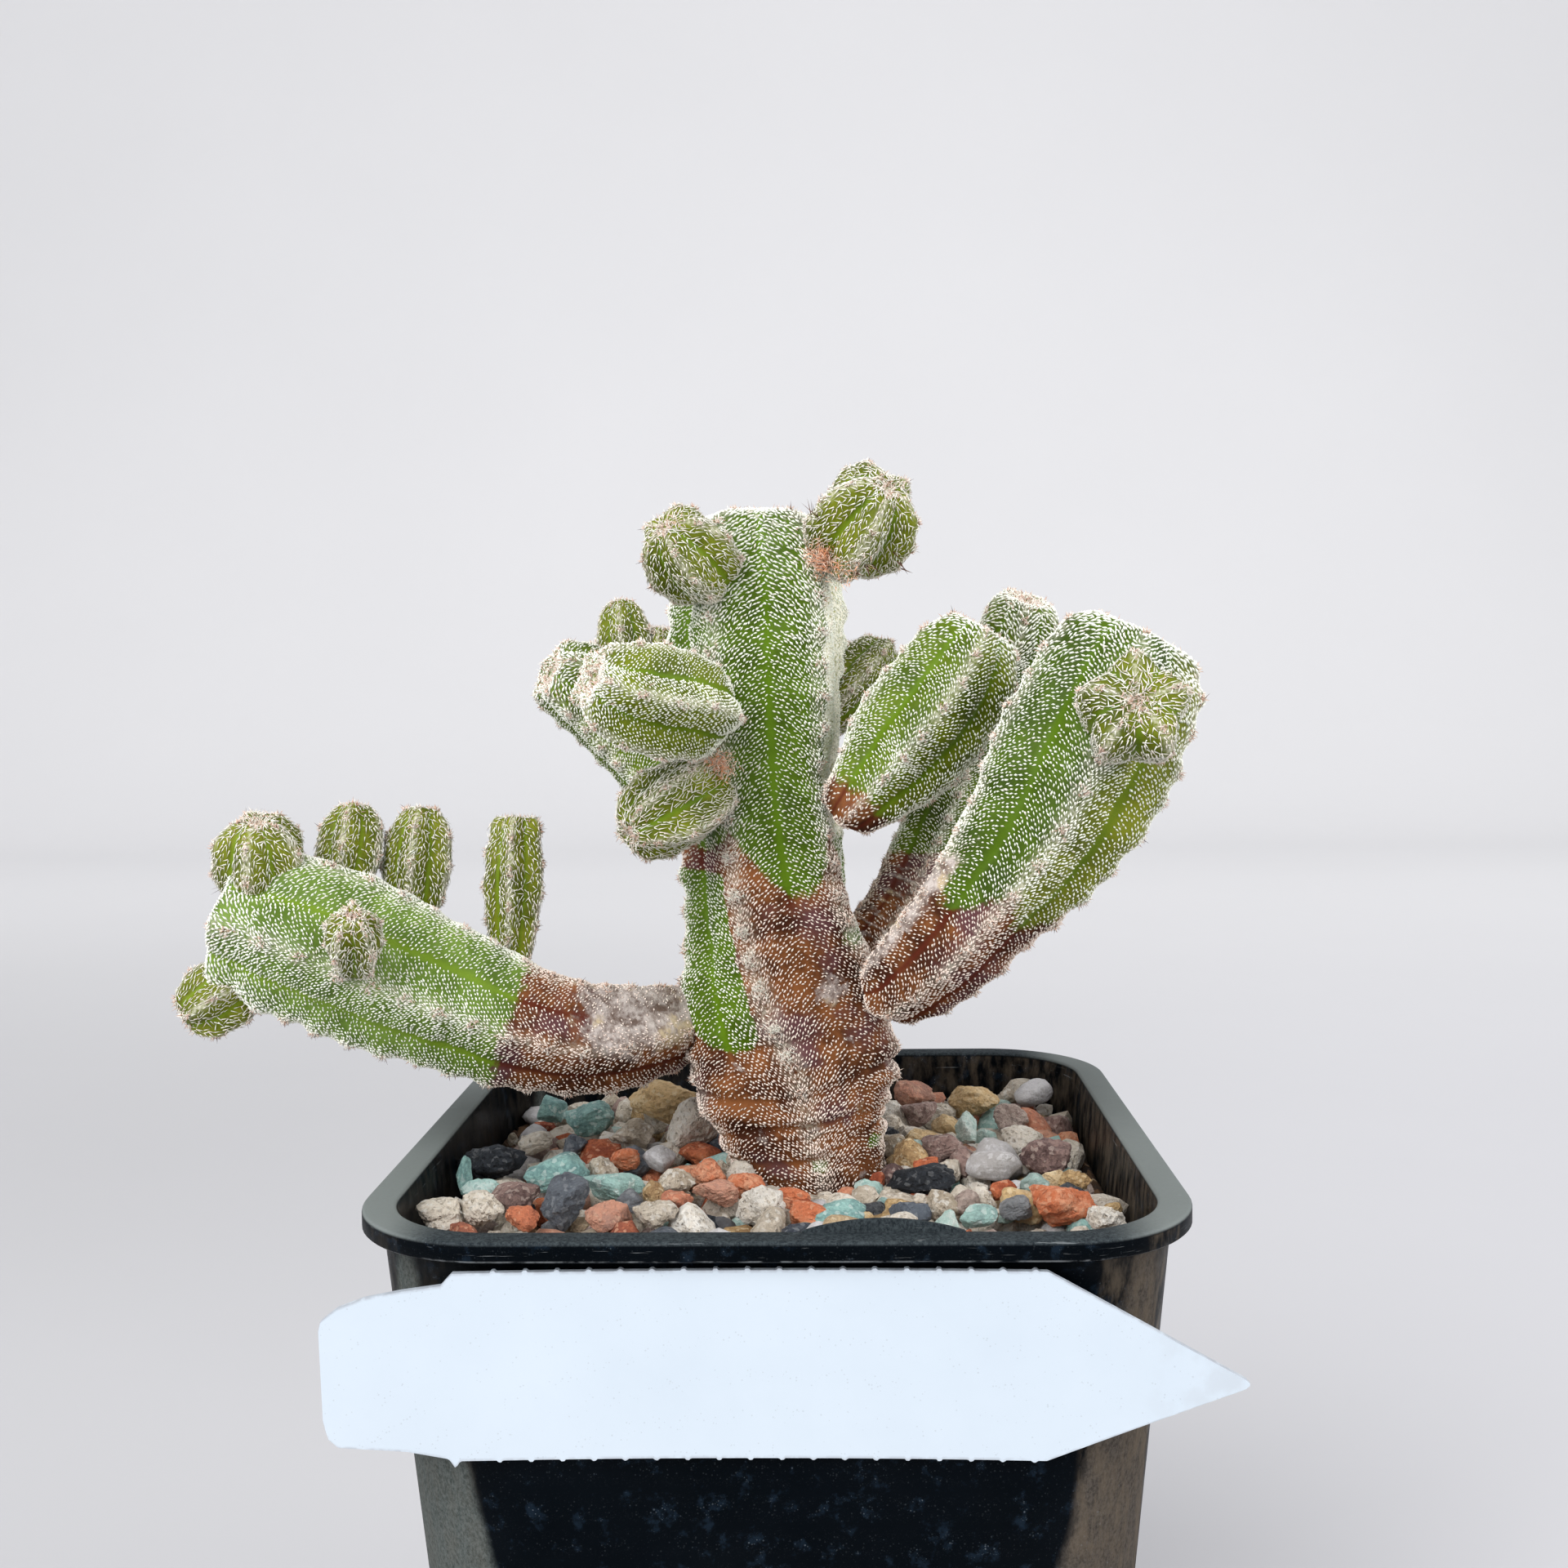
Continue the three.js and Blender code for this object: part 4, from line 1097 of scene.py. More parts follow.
def stem_tufts(stem, draw, oldest=0.0):
    """Wool and spines. Each crest has an areole every few millimetres: a tuft of short strands,
    and at three in five of them a dark thin spine. Wool also crowds round the growing tip."""
    wool, spines = [], []
    per_rib = max(2, int(stem.length / areole_pitch))
    for rib in range(ribs):
        phase = stem.tooth_phase[rib] / (2 * math.pi)
        run = (np.arange(per_rib) + 1 - phase) * areole_pitch
        run = run[(run > oldest) & (run < stem.length - 0.8 * MM)]
        if not len(run):
            continue
        angle = np.full(len(run), rib * 2 * half_rib)
        each = 20 if stem.hairy else 26
        run_each = np.repeat(run, each) + draw.normal(0, 0.26 * MM, len(run) * each)
        angle_each = np.repeat(angle, each) + draw.normal(0, 0.04, len(run) * each)
        wool.append((run_each, angle_each, 0.5))
        armed = draw.uniform(size=len(run)) > 0.4
        spines.append((run[armed] + draw.normal(0, 0.12 * MM, armed.sum()), angle[armed], 0.8))
    crown = 170 if stem.hairy else 340
    tip_run = stem.length - np.abs(draw.normal(0, 1.5 * MM, crown))
    wool.append((tip_run, draw.uniform(0, 2 * math.pi, crown), 0.6))
    return [joined_strands(stem, wool, draw, False), joined_strands(stem, spines, draw, True)]


def joined_strands(stem, batches, draw, spine):
    """Strands rooted in the skin, leaning out at random from it. One that would lean inwards is
    turned back out by 1.4 times as much."""
    run = np.concatenate([batch[0] for batch in batches])
    angle = np.concatenate([batch[1] for batch in batches])
    reach = np.concatenate([np.full(len(batch[0]), batch[2]) for batch in batches])
    run = np.clip(run, 0.1 * MM, stem.length - 0.12 * MM)
    points, up, outward = stem.frame_at(run, angle)
    lean = 0.75 if spine else 0.9
    directions = unit(outward + lean * 0.6 * draw.normal(size=points.shape) + 0.15 * up)
    inward = np.clip(-np.sum(directions * outward, 1, keepdims=True), 0, None)
    directions = unit(directions + outward * inward * 1.4)
    length = reach * draw.uniform(0.6, 1.25, len(run)) * MM
    thick = draw.uniform(0.045, 0.06, len(run)) if spine else draw.uniform(0.05, 0.1, len(run))
    made = strands(points - 0.05 * MM * outward, directions, length, thick * MM)
    return made, np.repeat(draw.uniform(0, 1, len(run)), 4)


def build_skin_group():
    """Living skin: cells and slow blotches. Blotch is a slow variation of shade, cells a fine
    pebbled relief, and ragged turns a soft mark into one with a broken edge."""
    group, given, made = group_of(
        "cactus_skin",
        {"Place": "NodeSocketVector", "Mark": "NodeSocketFloat"},
        {"Blotch": "NodeSocketFloat", "Cells": "NodeSocketFloat", "Ragged": "NodeSocketFloat"},
    )
    place = given.outputs["Place"]
    blotch = noise(group, place, 260.0, 4.0, 0.6)
    cells = add(group, "ShaderNodeTexVoronoi", {"Vector": place, "Scale": 4200.0}).outputs["Distance"]
    edge = minus(group, noise(group, place, 900.0, 5.0, 0.7), 0.5)
    torn = plus(group, given.outputs["Mark"], times(group, edge, 1.5))
    group.links.new(blotch, made.inputs["Blotch"])
    group.links.new(cells, made.inputs["Cells"])
    group.links.new(fade(group, torn, 0.3, 0.7), made.inputs["Ragged"])
    return group


cactus_skin = build_skin_group()


def skin_pattern(tree, at, mark):
    """The cactus skin group placed in a material, for one mark on the skin."""
    made = add(tree, "ShaderNodeGroup", {"Place": at, "Mark": mark}, node_tree=cactus_skin)
    return made.outputs["Blotch"], made.outputs["Cells"], made.outputs["Ragged"]


def build_skin_finish(name, deep, lit, groove, gloss=0.5):
    """Skin colour: deep and lit green in blotches, yellower on fresh offsets, a brighter bare
    groove, brown where the stem has aged, and a pale bloom close to the crests. Worn skin is grey
    cork where it is brown and straw-coloured where it is green. The pale straw is also painted
    light, where the column's upper right face is marked as lit from the right and behind."""
    material, tree, shader, at = start_material(name, roughness=gloss, specular=0.12)
    marks = {mark: mark_on(tree, mark) for mark in ("crest", "brown", "felt", "fresh")}
    blotch, cells, aged = skin_pattern(tree, at, marks["brown"])
    corky = skin_pattern(tree, at, marks["felt"])[2]
    fine = noise(tree, at, 2400.0, 4.0, 0.7)
    green = coat_over(tree, fade(tree, blotch, 0.35, 0.68), paint(*deep), paint(*lit))
    young = coat_over(tree, fade(tree, blotch, 0.3, 0.7), paint(76, 84, 8), paint(120, 125, 26))
    green = coat_over(tree, marks["fresh"], green, young)
    bare = fade(tree, plus(tree, marks["crest"], times(tree, fine, 0.12)), 0.28, 0.06)
    bare = times(tree, bare, minus(tree, 1.0, corky))
    green = coat_over(tree, times(tree, bare, 0.55), green, paint(*groove))
    rust = coat_over(tree, fade(tree, blotch, 0.35, 0.65), paint(58, 28, 14), paint(124, 76, 42))
    rust = coat_over(tree, fade(tree, noise(tree, at, 140.0), 0.5, 0.66), rust, paint(88, 56, 58))
    rust = coat_over(tree, times(tree, bare, 0.8), rust, paint(82, 30, 16))
    colour = coat_over(tree, aged, green, rust)
    bloom = times(tree, fade(tree, fine, 0.35, 0.65), fade(tree, marks["crest"], 0.68, 1.0))
    bloom = times(tree, bloom, plus(tree, 0.4, times(tree, marks["fresh"], 0.5)))
    colour = coat_over(tree, bloom, colour, paint(206, 203, 184))
    lichen = noise(tree, at, 620.0, 6.0, 0.75)
    cork = coat_over(tree, fade(tree, lichen, 0.35, 0.65), paint(104, 88, 80), paint(206, 196, 190))
    cork = coat_over(tree, fade(tree, blotch, 0.56, 0.68), cork, paint(202, 184, 152))
    # Pale straw: real felt on green skin, and painted light on the column's upper right face.
    straw = coat_over(tree, fade(tree, fine, 0.36, 0.5), paint(172, 170, 118), paint(254, 250, 234))
    cork = coat_over(tree, aged, straw, cork)
    colour = coat_over(tree, times(tree, corky, 0.9), colour, cork)
    tree.links.new(colour, shader.inputs["Base Color"])
    rough = plus(tree, gloss, times(tree, calc(tree, "MAXIMUM", aged, corky), 0.35))
    tree.links.new(rough, shader.inputs["Roughness"])
    relief = plus(tree, times(tree, cells, 0.25), times(tree, fine, 0.5))
    crust = times(tree, times(tree, lichen, corky), 5.0)
    raise_surface(tree, shader, plus(tree, relief, crust), 0.6, 0.00009)
    return material


def build_wool_finish(name, clean, aged):
    """Wool: clean white through cream to pinkish brown, by each tuft's own tone."""
    material, tree, shader, at = start_material(name, roughness=0.85, specular=0.25)
    mottle = times(tree, noise(tree, at, 700.0, 3.0), 0.3)
    shade = fade(tree, plus(tree, mark_on(tree, "tone"), mottle), 0.1, 1.15)
    colour = coat_over(tree, shade, paint(*clean), paint(*aged))
    tree.links.new(colour, shader.inputs["Base Color"])
    raise_surface(tree, shader, noise(tree, at, 9000.0, 2.0), 0.4, 0.00004)
    return material


fleck_wool = build_wool_finish("fleck_wool", (242, 246, 234), (234, 216, 204))
tuft_wool = build_wool_finish("areole_wool", (246, 243, 234), (206, 170, 150))
rusty_wool = build_wool_finish("rusty_wool", (250, 228, 210), (238, 164, 120))
spine_finish = build_wool_finish("spine_brown", (52, 38, 34), (112, 80, 64))


def dress_stem(node, skin_finish, stems, seed):
    """Makes a node's skins, flecks, wool and spines. stems is a list of stem, ageing rule, how
    fresh its growth is from 0 to 1, and the length from its root that has lost its wool."""
    draw = np.random.default_rng(seed)
    skins, flecks, hairs, wool, spines = [], [], [], [], []
    for stem, ageing, fresh, oldest in stems:
        sides = 60 if stem.hairy else 100
        skins.append(stem_skin(stem, ageing, fresh, sides, (0.4 if stem.hairy else 0.6) * MM))
        made, tone = stem_flecks(stem, ageing, draw)
        (hairs if stem.hairy else flecks).append((*made, tone))
        for kept, batch in zip((wool, spines), stem_tufts(stem, draw, oldest)):
            kept.append((*batch[0], batch[1]))
    points, faces, crest, brown, felt, fresh = join_meshes(skins)
    marks = {"crest": crest, "brown": brown, "felt": felt, "fresh": fresh}
    fit_to_pot(put_in_scene(f"{node}_skin", points, faces, **marks), skin_finish, node)
    coats = [("flecks", flecks, fleck_wool), ("wool", wool, tuft_wool)]
    coats.append(("spines", spines, spine_finish))
    if hairs:
        coats.append(("hairs", hairs, fleck_wool))
    for label, batch, finish in coats:
        points, faces, tone = join_meshes(batch)
        fit_to_pot(put_in_scene(f"{node}_{label}", points, faces, tone=tone), finish, node)


def strays(node, label, finish, rows, seed, thickness=(0.04, 0.065)):
    """Strands that stand alone on a node: for each row of place (x, y, height over the rim),
    direction, length, how many, how far apart their roots are and how much they splay."""
    draw = np.random.default_rng(seed)
    batch = []
    for place, direction, length, count, apart, splay in rows:
        roots = (np.array(place) + apart * draw.normal(size=(count, 3))) * MM + [0, 0, rim_height]
        leaning = unit(np.array(direction) + splay * draw.normal(size=(count, 3)))
        reach = length * draw.uniform(0.6, 1.2, count) * MM
        points, faces = strands(roots, leaning, reach, draw.uniform(*thickness, count) * MM)
        batch.append((points, faces, np.repeat(draw.uniform(0, 1, count), 4)))
    points, faces, tone = join_meshes(batch)
    piece = put_in_scene(f"{node}_{label}", points, faces, tone=tone)
    fit_to_pot(piece, finish, node)


def column_ageing(points, run, angle):
    """Brown from the grit up. Each face is green down to its own height in the groove, and turns
    brown higher up at its crests. The left front face keeps a long green lobe below that, with a
    rounded foot, between the brown crest and the trunk. The front has green specks and a grey
    scar, each fading by exp(-d^2) with the distance d over its own size, and the upper part of
    the right face is marked to be painted pale straw: painted light, for its hairs lit from the
    right and behind."""
    height = (points[..., 2] - rim_height) / MM
    faces_round = (angle % (2 * math.pi)) / (2 * half_rib)
    face = np.floor(faces_round).astype(int) % ribs
    across = faces_round - np.floor(faces_round)
    from_groove = np.abs(2 * across - 1)
    green_down_to = np.array([23.5, 20.0, 21.0, 19.0, 27.7])[face]
    edge = green_down_to + (29.5 - green_down_to) * from_groove ** np.where(across > 0.5, 5.0, 1.2)
    brown = 1 - smooth_step(height, edge - 1.6, edge + 1.6)
    lobe = smooth_step(height - 4.5 * from_groove**3, 8.0, 9.6) * (1 - smooth_step(height, 25.0, 26.2))
    lobe = lobe * (1 - smooth_step(across, 0.84, 0.92)) * (face == 4)
    x, front = points[..., 0] / MM, points[..., 1] < 0
    for speck_x, speck_height, size in [(7.2, 19.3, 1.1), (3.6, -2.3, 0.8), (9.0, -0.8, 0.8)]:
        away = ((x - speck_x) ** 2 + (height - speck_height) ** 2) / size**2
        lobe = np.maximum(lobe, 0.9 * front * np.exp(-away))
    lumps = np.sin(0.9 * height + 3 * angle) * np.sin(5 * angle + 1.3)
    felt = smooth_step(lumps, 0.72, 1.0) * (1 - smooth_step(height, 10, 18)) * 0.5
    scar = front * np.exp(-((x - 4.9) ** 2 + (height - 14.4) ** 2) / 1.7**2)
    felt = np.maximum(felt, 0.8 * scar)
    # Painted light: the upper right face is marked to be painted pale straw, for its hairs lit from
    # the right and behind.
    backlit_painted_light = smooth_step(height, 26, 31) * smooth_step(across, 0.0, 0.12) * (face == 1) * 0.95
    return brown * (1 - lobe), np.maximum(felt, backlit_painted_light), 0 * height


def not_aged(points, run, angle):
    """No ageing, as on an offset."""
    nothing = np.zeros(points.shape[:-1])
    return nothing, nothing, nothing


ball = [(0, 0.4), (0.12, 0.76), (0.4, 1), (0.7, 0.97), (0.92, 0.7), (1, 0.38), (0.96, 0.1)]
barrel = [(0, 0.34), (0.2, 0.66), (0.42, 0.86), (0.62, 1), (0.84, 0.9), (1, 0.6), (0.97, 0.12)]
star = [(0, 0.42), (0.2, 0.8), (0.5, 1.04), (0.8, 1.06), (0.98, 0.82), (1, 0.5), (0.93, 0.1)]


def offset(root, top, width, seed, turn=0.0, facing=(0, -1, 0), form=ball, depth=(0.9, 1.5)):
    """A small offset: a ribbed ball, barrel or star from its narrow root to its dimpled top. The
    form gives shares of the way up and of just over half the width."""
    root, top = np.array(root), np.array(top)
    knots = [[*(root + (top - root) * share), full * width / 1.95] for share, full in form]
    made = RibbedStem(knots, seed, turn=(turn, turn), depth=depth, facing=facing)
    made.hairy = True
    return made


towards_viewer = (0, 0, 1)
column = RibbedStem(
    [
        [3.4, 1, -8.6, 3.2], [3.3, 1, -7.4, 6.2], [3.0, 1, -5.0, 7.2], [2.4, 1, -2.4, 7.9],
        [1.8, 1, 0.8, 9.0], [1.3, 1, 4.5, 10.3], [0.9, 1, 8.2, 10.7], [0.2, 1, 12.2, 10.2],
        [-0.4, 1, 17.0, 9.5], [-1.0, 1, 21.5, 8.8], [-1.4, 1, 27.7, 8.5], [-1.4, 1, 34.0, 8.0],
        [-1.6, 1, 40.1, 8.7], [-1.8, 1, 47.2, 9.3], [-1.7, 1, 52.0, 9.1], [-1.7, 1, 55.6, 8.4],
        [-1.7, 1, 58.0, 7.2], [-1.7, 1, 59.8, 5.4], [-1.7, 1, 60.1, 3.6], [-1.7, 1, 59.4, 1.4],
    ],
    seed=3,
    turn=(10, 10, 5, -13, -26, -29, -32.5, -36),
    depth=(0.2, 1.15),
    creases=[
        (10.2, 0.04, 0.6), (5.2, 0.075, 0.5), (1.3, 0.11, 0.45), (-1.2, 0.08, 0.4), (-4.2, 0.06, 0.4)
    ],
)
star_offset = RibbedStem(
    [
        [-5.4, -4.6, 40.5, 2.2], [-6.7, -8.8, 41.0, 4.2], [-8.0, -11.8, 41.4, 5.1],
        [-10.6, -14.5, 42.0, 5.4], [-13.9, -17.0, 43.2, 4.8], [-15.5, -18.2, 44.1, 2.8],
        [-15.2, -18.0, 44.0, 1.0],
    ],
    seed=5,
    turn=(8, 8),
    depth=(0.8, 1.6),
)
star_offset.fineness = 0.78
column.closed_below = 33.5 * MM
column_offsets = [
    offset((-5.6, -4.6, 52.8), (-9.8, -11.2, 57.6), 8.9, 6, facing=towards_viewer),
    offset((5.8, -1.6, 55.2), (10.6, -9.0, 61.2), 10.9, 7, turn=20, depth=(1.1, 1.8)),
    offset((-5.2, -4.4, 34.4), (-13.3, -12.0, 30.0), 8.8, 8, turn=30),
    offset((4.6, 4.6, 39.6), (10.9, 13.0, 47.0), 7.4, 9),
]
column_skin = build_skin_finish("main_stem_skin", (57, 78, 6), (80, 107, 16), (92, 126, 12))
dress_stem(
    "main_stem",
    column_skin,
    [(column, column_ageing, 0.0, 14 * MM), (star_offset, not_aged, 0.65, 0.0)]
    + [(small, not_aged, 0.8, 0.0) for small in column_offsets],
    seed=11,
)
strays(
    "main_stem",
    "rusty_wool",
    rusty_wool,
    [
        [(4.7, -6.3, 55.1), (-0.4, -0.8, -0.1), 1.1, 420, 0.75, 0.5],
        [(7.0, -7.2, 54.4), (0.3, -0.8, -0.4), 1.0, 180, 0.8, 0.5],
        [(-5.4, -8.4, 35.8), (0.1, -0.9, 0.2), 0.7, 380, 0.7, 0.6],
    ],
    seed=12,
)
tuft_runs = (np.array([31.2, 27.4, 23.8, 20.6, 17.8, 15.0, 11.4, 8.6]) + 12) * MM
tuft_places, _, tuft_out = column.frame_at(tuft_runs, 0 * tuft_runs)
strays(
    "main_stem",
    "white_wool",
    fleck_wool,
    [
        [(place - [0, 0, rim_height]) / MM, outward, 0.6, 120, 0.36, 0.9]
        for place, outward in zip(tuft_places, tuft_out)
    ],
    seed=14,
)
strays(
    "main_stem",
    "dark_spines",
    spine_finish,
    [
        [(3.7, -7.4, 58.2), (-0.5, -0.3, 0.9), 2.3, 5, 0.3, 0.22],
        [(8.2, -7.6, 53.9), (0.3, -0.6, -0.8), 1.8, 5, 0.6, 0.35],
        [(11.6, -7.2, 54.6), (0.7, -0.4, -0.7), 1.8, 4, 0.5, 0.35],
        [(9.6, -8.8, 61.6), (-0.2, -0.3, 1.0), 1.1, 4, 0.5, 0.5],
    ],
    seed=13,
    thickness=(0.07, 0.1),
)


# Left arm. The longest branch, hanging low over the pot's left edge and turning up at its tip. It
# is brown and corky near the trunk, and six offsets sit on its far half.
def left_arm_ageing(points, run, angle):
    """Brown up to a slanting edge a third of the way along, with grey cork on top nearest the
    trunk."""
    x, height = points[..., 0] / MM, (points[..., 2] - rim_height) / MM
    edge = -27.0 + 0.35 * (height - 6)
    brown = smooth_step(x, edge - 1.8, edge + 1.8)
    cork = smooth_step(x, -22.0, -14.0) * smooth_step(height, 6.0, 12.0)
    return brown, cork, 0 * height


left_arm = RibbedStem(
    [
        [-6.6, 2.8, 9.8, 2.4], [-9.4, 1.6, 10.0, 3.8], [-13.2, -1.6, 9.8, 4.9],
        [-18.5, -5.0, 10.0, 5.6], [-24.6, -7.0, 11.8, 6.3], [-30.6, -8.0, 14.6, 7.3],
        [-37.0, -9.0, 17.6, 8.0], [-42.6, -9.8, 20.2, 8.2], [-47.4, -10.0, 21.9, 7.6],
        [-50.6, -10.0, 22.8, 5.6], [-50.2, -10.0, 22.7, 1.6],
    ],
    seed=21,
    depth=(0.5, 1),
)
left_arm.fineness = 0.92
left_offsets = [
    offset((-47.4, -9.6, 23.4), (-46.7, -13.4, 31.6), 8.8, 22),
    offset((-48.8, -10.4, 16.8), (-54.4, -12.0, 13.4), 7.2, 23),
    offset((-40.8, -6.6, 24.4), (-40.4, -3.8, 32.2), 6.4, 24),
    offset((-34.8, -5.0, 21.4), (-34.2, -2.8, 31.8), 6.8, 25),
    offset((-25.8, -4.4, 14.8), (-25.2, -2.2, 30.8), 6.2, 26, form=barrel),
    offset((-37.6, -15.4, 18.4), (-35.9, -21.6, 24.0), 5.2, 27, facing=towards_viewer),
]
left_skin = build_skin_finish("left_arm_skin", (76, 100, 32), (104, 130, 52), (112, 140, 24))
dress_stem(
    "left_arm",
    left_skin,
    [(left_arm, left_arm_ageing, 0.0, 0.0)] + [(small, not_aged, 0.9, 0.0) for small in left_offsets],
    seed=28,
)
strays(
    "left_arm",
    "dark_spines",
    spine_finish,
    [
        [(-50.0, -11.6, 25.8), (-0.7, -0.5, -0.4), 1.7, 4, 0.5, 0.3],
        [(-47.2, -13.6, 25.0), (0.0, -0.7, -0.7), 1.5, 4, 0.8, 0.4],
        [(-43.6, -11.8, 26.6), (0.8, -0.5, -0.1), 1.7, 5, 0.5, 0.35],
    ],
    seed=29,
)


# Right arm and back right arm. The thick right arm rises from the trunk to a broad tip and carries
# one offset that faces the viewer. Behind it a slender ringed branch rises from the same side.
def right_arm_ageing(points, run, angle):
    """Brown below a ragged edge that is higher at the crests, with a grey corky crest on the side
    towards the column, and yellower skin down the far side."""
    x, height = points[..., 0] / MM, (points[..., 2] - rim_height) / MM
    edge = 24.0 - 0.35 * (x - 14) + 3.5 * crest_share(angle) ** 2
    brown = 1 - smooth_step(height, edge - 2.2, edge + 2.2)
    cork = smooth_step(height - 1.3 * (x - 8), 14.5, 18.0) * (1 - smooth_step(height, 24, 32))
    yellow = smooth_step(x - 0.72 * (height - 15) - 11.2, 0.5, 4.5) * 0.9
    return np.maximum(brown, cork), cork, yellow


def back_right_ageing(points, run, angle):
    """Brown below the middle of the branch, ringed with paler bands."""
    height = (points[..., 2] - rim_height) / MM
    brown = 1 - smooth_step(height, 24.8, 26.6)
    bands = smooth_step(np.sin(2 * math.pi * run / (1.5 * MM)), -0.7, 0.8) * brown * 0.55
    return brown, bands, 0 * height


right_arm = RibbedStem(
    [
        [9.6, -4.5, 14.2, 2.5], [11.2, -6.5, 15.1, 4.2], [15.3, -9.5, 19.3, 5.4],
        [18.9, -11.0, 23.7, 6.1], [22.2, -12.0, 28.0, 7.2], [25.1, -12.5, 32.4, 8.3],
        [27.5, -12.5, 36.9, 8.7], [29.9, -12.5, 41.5, 8.3], [31.9, -12.5, 45.9, 6.9],
        [32.8, -12.5, 47.4, 4.4], [32.5, -12.5, 46.8, 1.2],
    ],
    seed=31,
    turn=(16, -8),
    depth=(0.6, 1),
)
right_star = offset(
    (30.4, -17.4, 38.8), (30.0, -26.4, 41.8), 8.9, 32,
    facing=towards_viewer,
    form=star,
    depth=(0.8, 1.3),
)
right_skin = build_skin_finish("right_arm_skin", (47, 66, 5), (69, 93, 10), (80, 110, 8))
dress_stem(
    "right_arm",
    right_skin,
    [(right_arm, right_arm_ageing, 0.0, 0.0), (right_star, not_aged, 0.75, 0.0)],
    seed=33,
)

back_right_arm = RibbedStem(
    [
        [6.8, 6.5, 14.2, 1.8], [8.4, 8.0, 15.8, 3.4], [12.0, 11.0, 20.0, 3.8],
        [15.4, 15.0, 25.7, 4.2], [18.8, 17.6, 32.5, 4.7], [21.2, 17.6, 39.5, 5.2],
        [24.1, 16.0, 46.4, 4.6], [25.2, 14.6, 49.6, 4.4], [25.8, 14.0, 52.0, 2.6],
        [25.8, 14.1, 51.7, 0.8],
    ],
    seed=35,
    depth=(0.3, 1),
)
dress_stem(
    "back_right_arm",
    right_skin,
    [(back_right_arm, back_right_ageing, 0.2, 0.0)],
    seed=36,
)


# Right middle arm and back left arm. Two shorter, younger branches either side of the column, the
# left one with two small offsets. Both are green but for a narrow brown root.
def young_arm_ageing(points, run, angle):
    """Brown only at the narrow root, and yellower on the right."""
    brown = 1 - smooth_step(run, 1.6 * MM, 4.6 * MM)
    x, height = points[..., 0] / MM, (points[..., 2] - rim_height) / MM
    yellow = smooth_step(x - 0.62 * (height - 33.5) - 8.5, 0.0, 3.0) * 0.6
    return brown, 0 * height, yellow


right_middle_arm = RibbedStem(
    [
        [6.2, -5.5, 30.9, 1.6], [6.9, -6.0, 31.7, 3.2], [8.5, -5.5, 33.5, 4.4],
        [10.7, -4.5, 35.9, 5.7], [13.4, -4.0, 39.2, 6.3], [16.4, -3.5, 43.1, 6.2],
        [18.6, -3.5, 46.8, 5.0], [19.5, -3.5, 48.4, 2.8], [19.2, -3.5, 48.0, 1.0],
    ],
    seed=41,
    turn=(4, 4),
    depth=(0.6, 1),
)
back_left_arm = RibbedStem(
    [
        [-5.0, 4.6, 28.8, 2.4], [-7.3, 6.4, 30.6, 4.4], [-9.8, 9.0, 33.3, 5.2],
        [-13.2, 10.0, 36.8, 5.5], [-16.2, 9.6, 40.0, 5.5], [-19.2, 8.4, 42.6, 5.0],
        [-21.6, 7.0, 44.2, 4.4], [-23.2, 6.0, 45.0, 2.8], [-22.9, 6.2, 44.8, 1.0],
    ],
    seed=43,
    turn=(36, 36),
    depth=(0.6, 1),
)
back_left_offsets = [
    offset((-15.6, 11.0, 42.0), (-16.8, 13.4, 52.2), 6.0, 44),
    offset((-12.6, 11.2, 39.0), (-12.7, 13.0, 49.4), 4.6, 45),
]
young_skin = build_skin_finish("young_skin", (60, 82, 8), (84, 109, 16), (92, 124, 12))
dress_stem(
    "right_middle_arm",
    young_skin,
    [(right_middle_arm, young_arm_ageing, 0.15, 0.0)],
    seed=46,
)
dress_stem(
    "back_left_arm",
    young_skin,
    [(back_left_arm, young_arm_ageing, 0.2, 0.0)]
    + [(small, not_aged, 0.8, 0.0) for small in back_left_offsets],
    seed=47,
)


# Label. A plant label cut from a strip of thin white polystyrene, pointed at its right end,
# with the nibs of the perforated strip left along both long edges. It leans on the pot's front
# wall under the rim, bowed a little forward at both ends.
label_thickness = 0.45 * MM
label_bow = 1.2 * MM
label_half_length = 37.2 * MM
label_gap = 0.3 * MM


def label_edges(x):
    """Heights of the label's upper and lower edge at a distance across, in millimetres below the
    rim: straight, rising to the point on the right and rounded off to the worn left end."""
    top = np.interp(x, [-35.7, -35.5, -34.2, -32, -29.2, -26, -25.1, 21.6, 36.9, 37.2],
                    [-7.0, -6.2, -5.2, -4.4, -3.9, -3.5, -2.5, -2.5, -11.0, -11.3])
    low = np.interp(x, [-35.7, -35.4, -34.6, -29.2, -25.9, -25.4, -25.0, 21.6, 36.9, 37.2],
                    [-14.5, -16.0, -16.8, -17.3, -18.0, -18.8, -18.2, -18.2, -11.8, -11.5])
    beat = np.abs((x + 0.6) % 2.5 - 1.25)
    nib = 0.16 * (1 - smooth_step(beat, 0.1, 0.26)) * (x > -24) * (x < 21.3)
    return top + nib, low - nib


